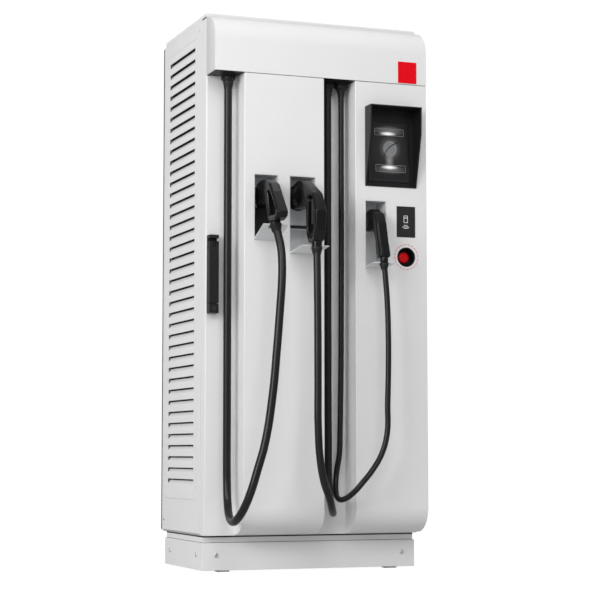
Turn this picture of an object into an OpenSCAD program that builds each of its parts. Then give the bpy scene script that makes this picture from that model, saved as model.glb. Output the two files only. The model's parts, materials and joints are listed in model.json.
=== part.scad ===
// Three-outlet EV fast-charging cabinet: plinth, framed body, full-width front door that
// carries the plug holsters, display and cables, rear service door, power and control gear.
// Frame: +X to the right seen from the front, -Y to the front, +Z up. The origin is on the
// floor, at the centre of the four anchor holes.

/* [Cabinet] */
// Outside width of the cabinet
body_w = 800; // [790:10:1000]
// Depth from the front door's face to the back of the frame
body_d = 505; // [500:5:640]
// Height from the base plate's underside to the roof cap
body_h = 1816; // [1800:4:2200]
// Height of the roof cap
roof_t = 15; // [10:1:24]
// Thickness of the outer sheet metal
skin_t = 2; // [1.5:0.5:3]
// Outside size of the square corner posts
post_w = 40; // [35:1:50]
// Wall of the posts and roof rails
tube_t = 3; // [2:0.5:4]
// Gap from the corner posts to the outside of the cabinet
post_inset = 4.5; // [4.5:0.5:8]

/* [Plinth] */
// Thickness of the anchor pads
pad_h = 6; // [4:1:12]
// Side of the square anchor pads
pad_w = 40; // [36:1:60]
// Radius of the anchor holes
anchor_r = 7; // [5:0.5:8]
// Distance of the anchor holes from the cabinet's sides
anchor_inset_x = 84; // [40:1:120]
// Distance of the anchor holes from the cabinet's front and back planes
anchor_inset_y = 60; // [55:1:75]
// Height of the plinth skirts
plinth_h = 95; // [80:1:140]
// Height of the shadow gap above the skirts
shadow_h = 24; // [15:1:40]
// Setback of the front and rear skirts
plinth_inset = 25; // [20:1:30]
// Thickness of the skirts and their top flanges
skirt_t = 3; // [2:0.5:4]
// Depth of the shadow gap behind the skirts' faces
shadow_d = 12; // [8:1:20]
// Width of the plinth rails
rail_w = 60; // [50:1:70]
// Wall of the plinth rails
rail_t = 5; // [3:0.5:8]

/* [Base and cable entry] */
// Thickness of the base plate
base_t = 6; // [4:1:10]
// Width of the cable opening in the base plate
entry_w = 440; // [400:10:480]
// Depth of the cable opening in the base plate
entry_d = 200; // [160:10:240]
// Thickness of the gland plate
gland_plate_t = 4; // [3:1:6]
// Overlap of the gland plate on the base plate
gland_lap = 20; // [10:1:30]
// Radius of the mains cable hole
mains_r = 31.75; // [20:0.25:35]
// Radius of the two data cable holes
data_r = 12.75; // [8:0.25:16]
// Distance of the data cable holes from the mains cable hole
data_off = 110; // [80:1:150]

/* [Louvres] */
// Margin from the frame's front edge to the louvred panel
louvre_front = 56; // [50:1:80]
// Margin from the frame's back edge to the louvred panel
louvre_back = 23; // [15:1:40]
// Margin below the louvred panel
louvre_low = 115; // [60:1:200]
// Margin above the louvred panel
louvre_high = 51; // [45:1:80]
// Spacing of the louvres
louvre_pitch = 40.6; // [30:0.1:60]
// Height of each slot
slot_h = 20; // [14:1:24]
// Distance from the panel's edge to the slots' ends
slot_margin = 23; // [20:1:60]
// Distance from the panel's lower edge to the first slot
slot_low = 52; // [40:1:80]
// Depth of the louvre blades
blade_d = 14; // [8:0.5:15]
// Play between the louvred panel and its opening
panel_play = 1; // [0.5:0.5:2]
// Width of the rim that laps behind the opening
rim_w = 10; // [8:1:12]
// Thickness of the rim
rim_t = 1.5; // [1:0.5:2.5]
// Thickness of the filter mats
mat_t = 12; // [8:1:20]

/* [Doors and hinges] */
// Thickness of the front door leaf
door_t = 50; // [45:1:60]
// Thickness of the rear door
rear_t = 25; // [20:1:40]
// Thickness of the front door's gasket
gasket_t = 4; // [3:0.5:6]
// Thickness of the rear door's gasket
rear_gasket_t = 2; // [2:0.5:5]
// Width of both gaskets
gasket_w = 14; // [10:1:20]
// Sheet thickness of the door leaf
door_skin = 2.5; // [2:0.5:4]
// Width of the door leaf's back flange
door_flange = 25; // [22:1:40]
// Gap around the doors at top and bottom
door_gap = 1.5; // [1:0.5:3]
// Distance of the hinge axes from the cabinet's side
hinge_off = 10; // [9:0.5:14]
// Radius of the hinge pins
pin_r = 4; // [3:0.5:5]
// Outside radius of the hinge knuckles
knuckle_r = 7; // [6.5:0.5:8]
// Height of one knuckle
knuckle_h = 20; // [15:1:30]
// Running clearance of pins and shafts, on the radius
run_fit = 0.05; // [0.03:0.01:0.1]

/* [Front covers] */
// Width of the open strip left of the left cover
left_channel = 108; // [100:1:140]
// Width of the cable channel between the covers
mid_channel = 119; // [100:1:140]
// Width of the right cover
right_cover_w = 276; // [270:1:340]
// How far the two lower covers stand out from the door
cover_p = 100; // [95:1:120]
// How far the fascia stands out beyond the lower covers
fascia_step = 2; // [1:0.5:6]
// Height of the fascia under the roof cap
fascia_h = 207; // [180:1:240]
// Radius of the covers' rounded ends
cover_r = 90; // [60:1:90]
// Wall of the covers
cover_t = 3; // [2:0.5:4]
// Height of the covers' lower end above the base plate's underside
cover_low = 5; // [3:1:20]
// Side of the red badge
badge_w = 72; // [50:1:90]
// Height of the red badge
badge_h = 78; // [50:1:90]

/* [Outlets] */
// Diameter of the CCS cable
ccs_cable_d = 28; // [24:1:30]
// Diameter of the CHAdeMO cable
chademo_cable_d = 26; // [22:1:28]
// Diameter of the Type 2 cable
type2_cable_d = 20; // [16:1:22]
// Radius of the two DC plug noses
dc_nose_r = 28; // [26:0.5:32]
// Radius of the Type 2 plug nose
ac_nose_r = 24; // [22:0.5:26]
// Clearance of the plug noses in their sockets
nose_fit = 0.4; // [0.3:0.1:0.6]
// Depth of the holster pockets
pocket_d = 90; // [80:1:94]
// Wall of the holsters
pocket_t = 3; // [2:0.5:4]

/* [Operator parts] */
// Radius of the emergency stop's well
stop_r = 35; // [30:0.5:40]
// Radius of the mushroom cap
cap_r = 20; // [18:0.5:24]
// Depth of the cap's face behind the cover's face
cap_depth = 20; // [10:1:24]
// Travel of the emergency stop
stop_travel = 5; // [3:0.5:6]
// Width of the door handle's base
handle_w = 36; // [34:1:44]
// Length of the door handle's base
handle_l = 273; // [240:1:300]
// Thickness of the door handle's base
handle_t = 12; // [10:1:16]
// How far the door handle stands out from the door
handle_p = 34; // [30:1:40]

/* [Power gear] */
// Number of power modules
module_n = 6; // [2:1:6]
// Width of a power module
module_w = 360; // [300:1:420]
// Height of a power module
module_h = 88; // [80:1:94]
// Spacing of the power modules
module_pitch = 100; // [98:1:110]
// Radius of the exhaust fans' throat
fan_r = 80; // [60:1:82]
// Number of fan blades
blade_n = 7; // [5:1:9]

/* [Hidden] */
$fn = 64;
eps = 1;
play = 0.3;

// Planes of the cabinet
half_w = body_w / 2;
y_door = -body_d / 2;
y_back = body_d / 2;
y_leaf = y_door + door_t;
y_frame = y_leaf + gasket_t;
y_cover = y_door - cover_p;
y_fascia = y_cover - fascia_step;
z_plinth = pad_h + plinth_h;
z_body = z_plinth + shadow_h;
z_base = z_body + base_t;
z_roof = z_body + body_h;
z_fascia = z_roof - fascia_h;
z_cover = z_body + cover_low;
z_door = z_body + door_gap;
z_door_top = z_roof - door_gap;
z_rails = z_roof - post_w;

// Frame tubes
post_x = half_w - post_inset - post_w;
post_yf = y_frame + post_w;
post_yb = y_back - post_w;

// Plinth
plinth_y = y_back - plinth_inset;
rail_x = half_w - shadow_d;
rail_y = plinth_y - shadow_d;
anchor_x = half_w - anchor_inset_x;
anchor_y = y_back - anchor_inset_y;

// Side openings, louvres and filters
open_y0 = y_frame + louvre_front;
open_y1 = y_back - louvre_back;
open_z0 = z_base + louvre_low;
open_z1 = z_roof - louvre_high;
slot_y0 = open_y0 + slot_margin;
slot_y1 = open_y1 - slot_margin - 9;
slot_n = floor((open_z1 - open_z0 - 2 * slot_low) / louvre_pitch) + 2;
mat_x = half_w - blade_d - 1;

// Hinges
hinge_x = half_w + hinge_off;
hinge_y = y_leaf + gasket_t / 2;
rear_hinge_y = y_back + rear_gasket_t / 2;
hinge_z = [z_body + 225, z_body + body_h / 2, z_roof - 221];
leaf_len = 36;

// Covers
left_x0 = -half_w + left_channel;
right_x0 = half_w - right_cover_w;
left_x1 = right_x0 - mid_channel;
cover_top = z_fascia - fascia_step;

// Holster openings, as [x0, x1, z0, z1], measured from the covers' edges and the floor
ccs_hole = [left_x0 + 35, left_x0 + 125, 1147, 1379];
chademo_hole = [left_x1 - 131, left_x1 - 32, 1104, 1379];
type2_hole = [right_x0 + 36, right_x0 + 119, 1065, 1307];
ccs_x = (ccs_hole[0] + ccs_hole[1]) / 2;
chademo_x = (chademo_hole[0] + chademo_hole[1]) / 2;
type2_x = (type2_hole[0] + type2_hole[1]) / 2;
ccs_nose_z = 1308;
chademo_nose_z = 1308;
type2_nose_z = 1232;
nose_back = y_cover + pocket_d - pocket_t - 6;
socket_y = y_cover + 50;
plug_y = socket_y - play;

// Cable exits at the connectors, as [x, y, z]
ccs_exit = [ccs_x, y_cover - 97.5, 1190];
ccs_tilt = 25;
chademo_exit = [chademo_x, y_cover - 138, 1112];
type2_exit = [type2_x, y_cover - 74, 1074];

// Display, reader and stop
display = [right_x0 + 37, right_x0 + 235, 1357, 1643];
reader = [right_x0 + 158, right_x0 + 230, 1179, 1290];
stop_x = right_x0 + 195;
stop_z = 1108;
stop_floor = y_cover + 43;
stem_end = stop_floor + 16;
cap_face = y_cover + cap_depth;
cap_h = 13;
stem_r = 6;

// Door handle and lock
hub_x = -half_w + 21;
hub_z = 1136;
lever_y = y_door - handle_t - 0.8;
lever_pin_y = y_door - 23.5;
lever_pin_r = 2.5;
lever_half = 15;
lever_top = 8;
handle_top = hub_z + 31;
handle_low = handle_top - handle_l;
lock_z = 911;
lock_top = lock_z + 16;
shaft_r = 6;
crank_r = 12;
crank_pin_r = 2;
crank_y = y_door + 4.5;
rod_y = crank_y + 3.5;
rod_w = 10;
rod_t = 4;
rod_off = 10;
rod_guides = [z_door + 60, z_door_top - 60];

// Electrical gear
plate_y = post_yb - 3;
plate_z0 = 1380;
plate_z1 = z_rails - 20;
din_z = plate_z1 - 100;
rack_z = 690;
rack_x = module_w / 2 + 3;
isolator_x = 230;
isolator_z = 1480;
knob_r = 5;
fan_x = mat_x - mat_t;
fan_y = (post_yf + post_yb) / 2;
fan_z = [plate_z0 + 120, plate_z0 + 330];

// Routes of the three cables, from the glands under the fascia to the connectors
gland_h = 30;
ccs_route = [
    [-334, -296, 1704], [-334, -296, 1600], [-334, -296, 1400], [-334, -296, 1200],
    [-334, -296, 1000], [-334, -296, 800], [-334, -296, 600], [-334, -296, 450],
    [-334, -296, 370], [-334, -299, 300], [-337, -315, 242], [-344, -352, 199],
    [-350, -406, 180], [-349, -461, 193], [-339, -503, 232], [-322, -522, 288],
    [-304, -527, 350], [-275, -524, 445], [-247, -518, 600], [-229, -513, 765],
    [-216, -507, 900], [-208, -501, 985], [-204, -493, 1050], [-204, -480, 1110],
    [-208, -466, 1150], [-212, -450, 1190]
];
chademo_route = [
    [40, -296, 1704], [40, -296, 1600], [40, -296, 1400], [40, -296, 1200],
    [40, -296, 1000], [40, -296, 800], [40, -296, 600], [41, -296, 450],
    [41, -296, 380], [41, -299, 322], [39, -314, 268], [31, -350, 225],
    [15, -405, 205], [-9, -459, 219], [-35, -499, 260], [-60, -515, 312],
    [-76, -522, 380], [-85, -524, 500], [-84, -520, 640], [-82, -514, 800],
    [-80, -506, 950], [-78, -497, 1050], [-76.5, -490.5, 1112]
];
type2_route = [
    [92, -296, 1704], [92, -296, 1550], [92, -296, 1350], [92, -296, 1150],
    [91, -296, 950], [90, -296, 750], [88, -296, 600], [86, -296, 500],
    [84, -293, 408], [77, -281, 333], [66, -305, 278], [59, -349, 252],
    [63, -393, 252], [79, -432, 273], [110, -452, 313], [149, -450, 358],
    [182, -448, 412], [201, -448, 480], [205, -444, 580], [210, -440, 700],
    [212, -436, 830], [210, -431, 950], [205, -428, 1030], [201.5, -426.5, 1074]
];

// A box given by its two opposite corners
module span(lo, hi) {
    translate(lo)
        cube(hi - lo);
}

// Extrudes a (y, z) outline along X from x0 to x1
module along_x(x0, x1) {
    translate([x0, 0, 0])
        rotate([90, 0, 90])
            linear_extrude(x1 - x0)
                children();
}

// A cylinder along X, Y or Z that starts at p
module rod_x(p, r, len) {
    translate(p)
        rotate([0, 90, 0])
            cylinder(h = len, r = r);
}

module rod_y(p, r, len) {
    translate(p)
        rotate([-90, 0, 0])
            cylinder(h = len, r = r);
}

module rod_z(p, r, len) {
    translate(p)
        cylinder(h = len, r = r);
}

// Copies for both sides of the cabinet
module both_sides() {
    children();
    mirror([1, 0, 0])
        children();
}

// A square tube along Z between the two corners
module post(lo, hi) {
    difference() {
        span(lo, hi);
        span([lo.x + tube_t, lo.y + tube_t, lo.z - eps],
             [hi.x - tube_t, hi.y - tube_t, hi.z + eps]);
    }
}

// A flat ring of sheet between y0 and y1: outer half width, x inset, z range, z inset
module ring_y(x, w, y0, y1, z0, z1) {
    difference() {
        span([-x, y0, z0], [x, y1, z1]);
        span([-x + w, y0 - eps, z0 + w], [x - w, y1 + eps, z1 - w]);
    }
}

// Plinth

module anchor_pads() {
    color("gray")
        for (sx = [-1, 1], sy = [-1, 1])
            difference() {
                translate([sx * anchor_x, sy * anchor_y, pad_h / 2])
                    cube([pad_w, pad_w, pad_h], center = true);
                rod_z([sx * anchor_x, sy * anchor_y, -eps], anchor_r, pad_h + 2 * eps);
            }
}

module plinth_rails() {
    color("gainsboro")
        for (s = [0, 1])
            mirror([0, s, 0])
                front_plinth_rail();
    color("gainsboro")
        both_sides()
            side_plinth_rail();
}

module front_plinth_rail() {
    difference() {
        span([-rail_x, -rail_y, pad_h], [rail_x, -rail_y + rail_w, z_body]);
        span([-rail_x - eps, -rail_y + rail_t, pad_h + rail_t],
             [rail_x + eps, -rail_y + rail_w - rail_t, z_body - rail_t]);
        for (s = [-1, 1])
            rod_z([s * anchor_x, -anchor_y, pad_h - eps], anchor_r, z_body);
    }
}

module side_plinth_rail() {
    difference() {
        span([rail_x - rail_w, -rail_y + rail_w, pad_h], [rail_x, rail_y - rail_w, z_body]);
        span([rail_x - rail_w + rail_t, -rail_y, pad_h + rail_t],
             [rail_x - rail_t, rail_y, z_body - rail_t]);
    }
}

module plinth_skirts() {
    color("whitesmoke") {
        for (s = [0, 1])
            mirror([0, s, 0])
                union() {
                    span([-half_w, -plinth_y, pad_h], [half_w, -plinth_y + skirt_t, z_plinth]);
                    span([-half_w, -plinth_y, z_plinth - skirt_t], [half_w, -rail_y, z_plinth]);
                }
        both_sides()
            union() {
                span([half_w - skirt_t, -plinth_y + skirt_t, pad_h],
                     [half_w, plinth_y - skirt_t, z_plinth - skirt_t]);
                span([rail_x, -rail_y, z_plinth - skirt_t], [half_w, rail_y, z_plinth]);
            }
    }
}

// Screw heads: two on each side of the body, and two on each face of the plinth
module case_bolts() {
    bolt_r = 8;
    bolt_h = 4;
    screw_r = 5;
    screw_h = 2.5;
    bolt_z = pad_h + 52;
    color("silver") {
        for (sx = [-1, 1], s = [0, 1])
            mirror([0, s, 0])
                rod_y([sx * (half_w - 50), -plinth_y - bolt_h, bolt_z], bolt_r, bolt_h);
        both_sides() {
            for (sy = [-1, 1])
                rod_x([half_w, sy * (plinth_y - 68), bolt_z], bolt_r, bolt_h);
            rod_x([half_w, y_frame + 20, z_roof - 32], screw_r, screw_h);
            rod_x([half_w, y_back - 11, z_body + 43], screw_r, screw_h);
        }
    }
}

// Base and frame

module base_plate() {
    color("silver")
        difference() {
            span([-half_w, y_frame, z_body], [half_w, y_back, z_base]);
            span([-entry_w / 2, -entry_d / 2, z_body - eps], [entry_w / 2, entry_d / 2, z_base + eps]);
        }
}

module gland_plate() {
    x = entry_w / 2 + gland_lap;
    y = entry_d / 2 + gland_lap;
    color("silver")
        difference() {
            span([-x, -y, z_base], [x, y, z_base + gland_plate_t]);
            rod_z([0, 0, z_base - eps], mains_r, gland_plate_t + 2 * eps);
            for (s = [-1, 1])
                rod_z([s * data_off, 0, z_base - eps], data_r, gland_plate_t + 2 * eps);
        }
}

module corner_posts() {
    color("gainsboro")
        both_sides() {
            post([post_x, y_frame, z_base], [post_x + post_w, post_yf, z_rails]);
            post([post_x, post_yb, z_base], [post_x + post_w, y_back, z_rails]);
        }
}

module roof_rails() {
    x1 = post_x + post_w;
    color("gainsboro") {
        for (y = [y_frame, post_yb])
            difference() {
                span([-x1, y, z_rails], [x1, y + post_w, z_roof]);
                span([-x1 - eps, y + tube_t, z_rails + tube_t],
                     [x1 + eps, y + post_w - tube_t, z_roof - tube_t]);
            }
        both_sides()
            difference() {
                span([post_x, post_yf, z_rails], [x1, post_yb, z_roof]);
                span([post_x + tube_t, post_yf - eps, z_rails + tube_t],
                     [x1 - tube_t, post_yb + eps, z_roof - tube_t]);
            }
    }
}

module right_side_frame() {
    color("whitesmoke")
        difference() {
            span([half_w - skin_t, y_frame, z_base], [half_w, y_back, z_roof]);
            span([half_w - skin_t - eps, open_y0, open_z0], [half_w + eps, open_y1, open_z1]);
        }
}

module left_side_frame() {
    mirror([1, 0, 0])
        right_side_frame();
}

// Louvred panel: a sheet that fills the side opening, a rim that laps behind it, and slots
// whose lower lips are blades that lean inwards
module right_louvre_panel() {
    x_in = half_w - skin_t;
    color("whitesmoke")
        difference() {
            union() {
                span([x_in, open_y0 + panel_play, open_z0 + panel_play],
                     [half_w, open_y1 - panel_play, open_z1 - panel_play]);
                span([x_in - rim_t, open_y0 - rim_w, open_z0 - rim_w],
                     [x_in, open_y1 + rim_w, open_z1 + rim_w]);
            }
            span([x_in - rim_t - eps, open_y0 + rim_w, open_z0 + rim_w],
                 [x_in, open_y1 - rim_w, open_z1 - rim_w]);
            for (i = [0 : slot_n - 1])
                translate([0, 0, open_z0 + slot_low + i * louvre_pitch])
                    span([x_in - eps, slot_y0, 0], [half_w + eps, slot_y1, slot_h]);
        }
    color("whitesmoke")
        for (i = [0 : slot_n - 1])
            translate([half_w, slot_y0, open_z0 + slot_low + i * louvre_pitch])
                louvre_blade();
}

module louvre_blade() {
    rotate([90, 0, 180])
        linear_extrude(slot_y1 - slot_y0)
            polygon([[0, 0], [skin_t, 0], [blade_d, slot_h - 2], [blade_d - skin_t, slot_h - 2]]);
}

module left_louvre_panel() {
    mirror([1, 0, 0])
        right_louvre_panel();
}

module filter_mats() {
    color("dimgray")
        both_sides()
            span([mat_x - mat_t, post_yf, open_z0], [mat_x, post_yb, open_z1]);
}

module roof_cap() {
    hem = 12;
    color("whitesmoke")
        difference() {
            span([-half_w, y_door, z_roof], [half_w, y_back, z_roof + roof_t]);
            span([-half_w + hem, y_door + hem, z_roof - eps],
                 [half_w - hem, y_back - hem, z_roof + roof_t - skin_t]);
        }
}

// Power and control gear

module module_rack() {
    top = rack_z + module_n * module_pitch + 10;
    y0 = y_frame + 8;
    y1 = y_back - 8;
    color("silver")
        union() {
            for (z = [rack_z, top - 20], y = [y0, y1 - 25])
                span([-post_x, y, z], [post_x, y + 25, z + 20]);
            for (s = [-1, 1])
                translate([s * (rack_x + 1), (y0 + y1) / 2, (rack_z + top) / 2])
                    cube([2, y1 - y0, top - rack_z], center = true);
            for (i = [0 : module_n - 1], s = [-1, 1])
                translate([s * (rack_x - 8), (y0 + y1) / 2, rack_z + 20 + i * module_pitch + 1])
                    cube([20, y1 - y0, 2], center = true);
        }
}

module power_modules() {
    color("lightsteelblue")
        for (i = [0 : module_n - 1])
            translate([0, 0, rack_z + 22 + i * module_pitch])
                power_module();
}

module power_module() {
    y0 = y_frame + 40;
    y1 = y_back - 34;
    fan_hole = 34;
    h = min(module_h, module_pitch - 26);
    difference() {
        span([-module_w / 2, y0, 0], [module_w / 2, y1, h]);
        for (s = [-1, 0, 1])
            rod_y([s * module_w / 3.4, y0 - eps, h / 2], fan_hole, 8 + eps);
    }
}

module mounting_plate() {
    color("silver")
        span([-post_x - 14, plate_y, plate_z0], [post_x + 14, post_yb, plate_z1]);
}

module din_rails() {
    color("lightgray")
        for (z = [din_z, din_z - 180])
            along_x(-260, 120)
                translate([plate_y, z])
                    polygon([[0, -13.5], [0, 13.5], [-6.5, 13.5], [-6.5, 17.5], [-7.5, 17.5],
                             [-7.5, 12.5], [-1, 12.5], [-1, -12.5], [-7.5, -12.5], [-7.5, -17.5],
                             [-6.5, -17.5], [-6.5, -13.5]]);
}

module contactors() {
    color("dimgray")
        for (i = [0 : 2])
            translate([-250 + i * 90, plate_y, plate_z0 + 20]) {
                difference() {
                    span([0, -110, 0], [75, 0, 110]);
                    for (x = [18, 57])
                        rod_z([x, -85, 90], 7, 30);
                }
            }
}

module circuit_breakers() {
    color("lightgray")
        for (i = [0 : 7])
            translate([-240 + i * 18.5, plate_y - 7.5, din_z]) {
                span([0, -60, -42], [18, 0, 42]);
                span([6, -68, -6], [12, -60, 12]);
            }
}

module control_unit() {
    color("darkseagreen")
        difference() {
            span([-240, plate_y - 67.5, din_z - 260], [60, plate_y - 7.5, din_z - 100]);
            for (i = [0 : 5])
                span([-220 + i * 44, plate_y - 68, din_z - 255],
                     [-190 + i * 44, plate_y - 50, din_z - 240]);
        }
}

module isolator_body() {
    color("dimgray")
        difference() {
            span([isolator_x - 55, plate_y - 90, isolator_z - 55],
                 [isolator_x + 55, plate_y, isolator_z + 55]);
            rod_y([isolator_x, plate_y - 90 - eps, isolator_z], knob_r + run_fit, 40 + eps);
        }
}

module isolator_knob() {
    y = plate_y - 90 - play;
    color("red")
        union() {
            rod_y([isolator_x, y - 8, isolator_z], 26, 8);
            span([isolator_x - 7, y - 26, isolator_z - 34], [isolator_x + 7, y - 8, isolator_z + 34]);
            rod_y([isolator_x, y - 8, isolator_z], knob_r, 46);
        }
}

// Two axial fans on one plate between the right-hand posts
module fan_housings() {
    frame = fan_r * 2 + 14;
    color("dimgray")
        difference() {
            union() {
                span([fan_x - 3, post_yf, plate_z0], [fan_x, post_yb, plate_z0 + 450]);
                for (z = fan_z)
                    translate([fan_x - 26, fan_y, z])
                        cube([50, frame, frame], center = true);
            }
            for (z = fan_z)
                difference() {
                    rod_x([fan_x - 60, fan_y, z], fan_r, 70);
                    fan_mount(z);
                }
        }
}

module fan_mount(z) {
    rod_x([fan_x - 10, fan_y, z], 30, 10);
    rod_x([fan_x - 44, fan_y, z], 4, 36);
    for (a = [45, 135])
        translate([fan_x - 5, fan_y, z])
            rotate([a, 0, 0])
                cube([8, 2 * fan_r + 4, 8], center = true);
}

module fan_rotor(z) {
    translate([fan_x, fan_y, z])
        difference() {
            union() {
                rod_x([-46, 0, 0], 28, 32);
                for (i = [0 : blade_n - 1])
                    rotate([i * 360 / blade_n, 0, 0])
                        translate([-30, 0, (28 + fan_r) / 2 - 3])
                            rotate([0, 0, 35])
                                cube([3, 34, fan_r - 32 + 4], center = true);
            }
            rod_x([-50, 0, 0], 4 + run_fit, 40);
        }
}

module upper_fan_rotor() {
    color("black")
        fan_rotor(fan_z[1]);
}

module lower_fan_rotor() {
    color("black")
        fan_rotor(fan_z[0]);
}

// Doors: gaskets, hinges and leaves

module door_gaskets() {
    x = half_w - 7;
    color("black") {
        ring_y(x, gasket_w, y_leaf, y_frame, z_base + 2, z_roof - 12);
        ring_y(x, gasket_w, y_back, y_back + rear_gasket_t, z_base + 2, z_roof - 12);
    }
}

// Outline of a hinge leaf on the body side of its axis: knuckle, web and strap
module hinge_strap(y_gap) {
    translate([-hinge_off, y_gap])
        square([3, leaf_len]);
}

module hinge_knuckle(y_gap) {
    difference() {
        union() {
            circle(knuckle_r);
            translate([-hinge_off, 0])
                square([hinge_off, knuckle_r]);
            hinge_strap(y_gap);
        }
        circle(pin_r + run_fit);
    }
}

// Fixed leaf about its own axis, with its two knuckles; the strap runs towards +Y
module fixed_leaf(y_gap) {
    for (s = [0, 1])
        mirror([0, 0, s])
            translate([0, 0, knuckle_h / 2 + play])
                linear_extrude(knuckle_h)
                    hinge_knuckle(y_gap);
    translate([0, 0, -knuckle_h / 2 - play - eps])
        linear_extrude(knuckle_h + 2 * play + 2 * eps)
            hinge_strap(y_gap);
}

module moving_leaf(y_gap) {
    mirror([0, 1, 0])
        translate([0, 0, -knuckle_h / 2])
            linear_extrude(knuckle_h)
                hinge_knuckle(y_gap);
}

module fixed_hinge_leaves() {
    color("silver")
        for (z = hinge_z) {
            translate([hinge_x, hinge_y, z])
                fixed_leaf(gasket_t / 2 + 2);
            translate([hinge_x, rear_hinge_y, z])
                mirror([0, 1, 0])
                    fixed_leaf(rear_gasket_t / 2 + 2);
        }
}

module hinge_pins() {
    low = 1.5 * knuckle_h + play;
    color("silver")
        for (y = [hinge_y, rear_hinge_y], z = hinge_z)
            union() {
                rod_z([hinge_x, y, z - low], pin_r, 2 * low + 1);
                rod_z([hinge_x, y, z + low], pin_r + 2, 3);
            }
}

module door_hinge_leaves() {
    color("silver")
        for (z = hinge_z)
            translate([hinge_x, hinge_y, z])
                moving_leaf(gasket_t / 2);
}

module door_leaf() {
    mid = door_skin + eps;
    color("whitesmoke")
        difference() {
            union() {
                difference() {
                    span([-half_w, y_door, z_door], [half_w, y_leaf, z_door_top]);
                    span([-half_w + door_skin, y_door + door_skin, z_door + door_skin],
                         [half_w - door_skin, y_leaf - door_skin, z_door_top - door_skin]);
                    span([-half_w + door_flange, y_leaf - mid, z_door + door_flange],
                         [half_w - door_flange, y_leaf + eps, z_door_top - door_flange]);
                }
                for (z = rod_guides)
                    rod_guide(z);
            }
            rod_y([hub_x, y_door - eps, hub_z], shaft_r + 3, mid + eps);
            span([left_x0 + 20, y_door - eps, 1120], [left_x1 - 20, y_door + mid, 1380]);
            span([right_x0 + 20, y_door - eps, 1040], [half_w - 20, y_door + mid, 1660]);
            span([left_x0 - 80, y_door - eps, z_fascia + 50], [half_w - 120, y_door + mid, z_fascia + 110]);
        }
}

// Block on the door leaf's inside that both lock rods slide through
module rod_guide(z) {
    x = rod_off + rod_w / 2 + 2.5;
    difference() {
        span([hub_x - x, y_door + door_skin - 0.5, z - 8], [hub_x + x, rod_y + rod_t + 4, z + 8]);
        for (s = [-1, 1])
            span([hub_x + s * rod_off - rod_w / 2 - play, rod_y - play, z - 9],
                 [hub_x + s * rod_off + rod_w / 2 + play, rod_y + rod_t + play, z + 9]);
    }
}

// Front covers. The outline lies in (y, z), with the door's face at y = 0 and -y forward
module cover_outline(p, h, r) {
    mirror([1, 0])
        difference() {
            square([p, h]);
            difference() {
                translate([p - r, -eps])
                    square([r + eps, r + eps]);
                translate([p - r, r])
                    circle(r, $fn = 128);
            }
        }
}

// A cover from x0 to x1 that is open at the back; its rounded end is at the bottom
module cover_shell(x0, x1, p, h) {
    difference() {
        along_x(x0, x1)
            cover_outline(p, h, cover_r);
        along_x(x0 + cover_t, x1 - cover_t)
            translate([eps, cover_t])
                cover_outline(p - cover_t + eps, h - 2 * cover_t, cover_r - cover_t);
    }
}

module hole_xz(h) {
    span([h[0], y_cover - eps, h[2]], [h[1], y_cover + cover_t + eps, h[3]]);
}

module left_cover() {
    color("whitesmoke")
        difference() {
            translate([0, y_door, z_cover])
                cover_shell(left_x0, left_x1, cover_p, cover_top - z_cover);
            hole_xz(ccs_hole);
            hole_xz(chademo_hole);
        }
}

module right_cover() {
    color("whitesmoke")
        difference() {
            translate([0, y_door, z_cover])
                cover_shell(right_x0, half_w, cover_p, cover_top - z_cover);
            hole_xz(type2_hole);
            hole_xz(display);
            hole_xz(reader + [4, -4, 4, -4]);
            rod_y([stop_x, y_cover - eps, stop_z], stop_r, cover_t + 2 * eps);
        }
}

module fascia() {
    color("whitesmoke")
        difference() {
            translate([0, y_door, z_door_top])
                mirror([0, 0, 1])
                    cover_shell(-half_w, half_w, cover_p + fascia_step, z_door_top - z_fascia);
            for (r = [ccs_route, chademo_route, type2_route])
                rod_z([r[0].x, r[0].y, z_fascia - eps], 20 + play, cover_t + 2 * eps);
        }
}

module badge() {
    x = half_w - 39;
    color("red")
        span([x - badge_w, y_fascia - 1.5, z_fascia + 3], [x, y_fascia, z_fascia + 3 + badge_h]);
}

// Cable glands: a flange and dome nut under the fascia, a threaded neck and a nut above it
module cable_gland(p, d) {
    translate([p.x, p.y, z_fascia]) {
        rod_z([0, 0, -6], 27, 6);
        rod_z([0, 0, -gland_h + 8], 23, gland_h - 14 + 2);
        translate([0, 0, -gland_h])
            cylinder(h = 8, r1 = d / 2 + 4, r2 = 23);
        rod_z([0, 0, -eps], 20, cover_t + 12 + eps);
        rod_z([0, 0, cover_t], 27, 6);
    }
}

module cable_glands() {
    color("black") {
        cable_gland(ccs_route[0], ccs_cable_d);
        cable_gland(chademo_route[0], chademo_cable_d);
        cable_gland(type2_route[0], type2_cable_d);
    }
}

// Holsters: an open pocket with a flange behind the cover, a socket and a tongue
module pocket(h) {
    fit = 0.2;
    fw = 8;
    y0 = y_cover + cover_t;
    y1 = y_cover + pocket_d;
    difference() {
        union() {
            span([h[0] + fit, y_cover, h[2] + fit], [h[1] - fit, y1, h[3] - fit]);
            span([h[0] - fw, y0, h[2] - fw], [h[1] + fw, y0 + 2, h[3] + fw]);
        }
        span([h[0] + pocket_t, y_cover - eps, h[2] + pocket_t],
             [h[1] - pocket_t, y1 - pocket_t, h[3] - pocket_t]);
    }
}

module socket(x, z, r) {
    difference() {
        rod_y([x, socket_y, z], r + 8, y_cover + pocket_d - pocket_t - socket_y + eps);
        rod_y([x, socket_y - eps, z], r + nose_fit, y_cover + pocket_d - pocket_t - socket_y + eps);
    }
}

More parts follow.
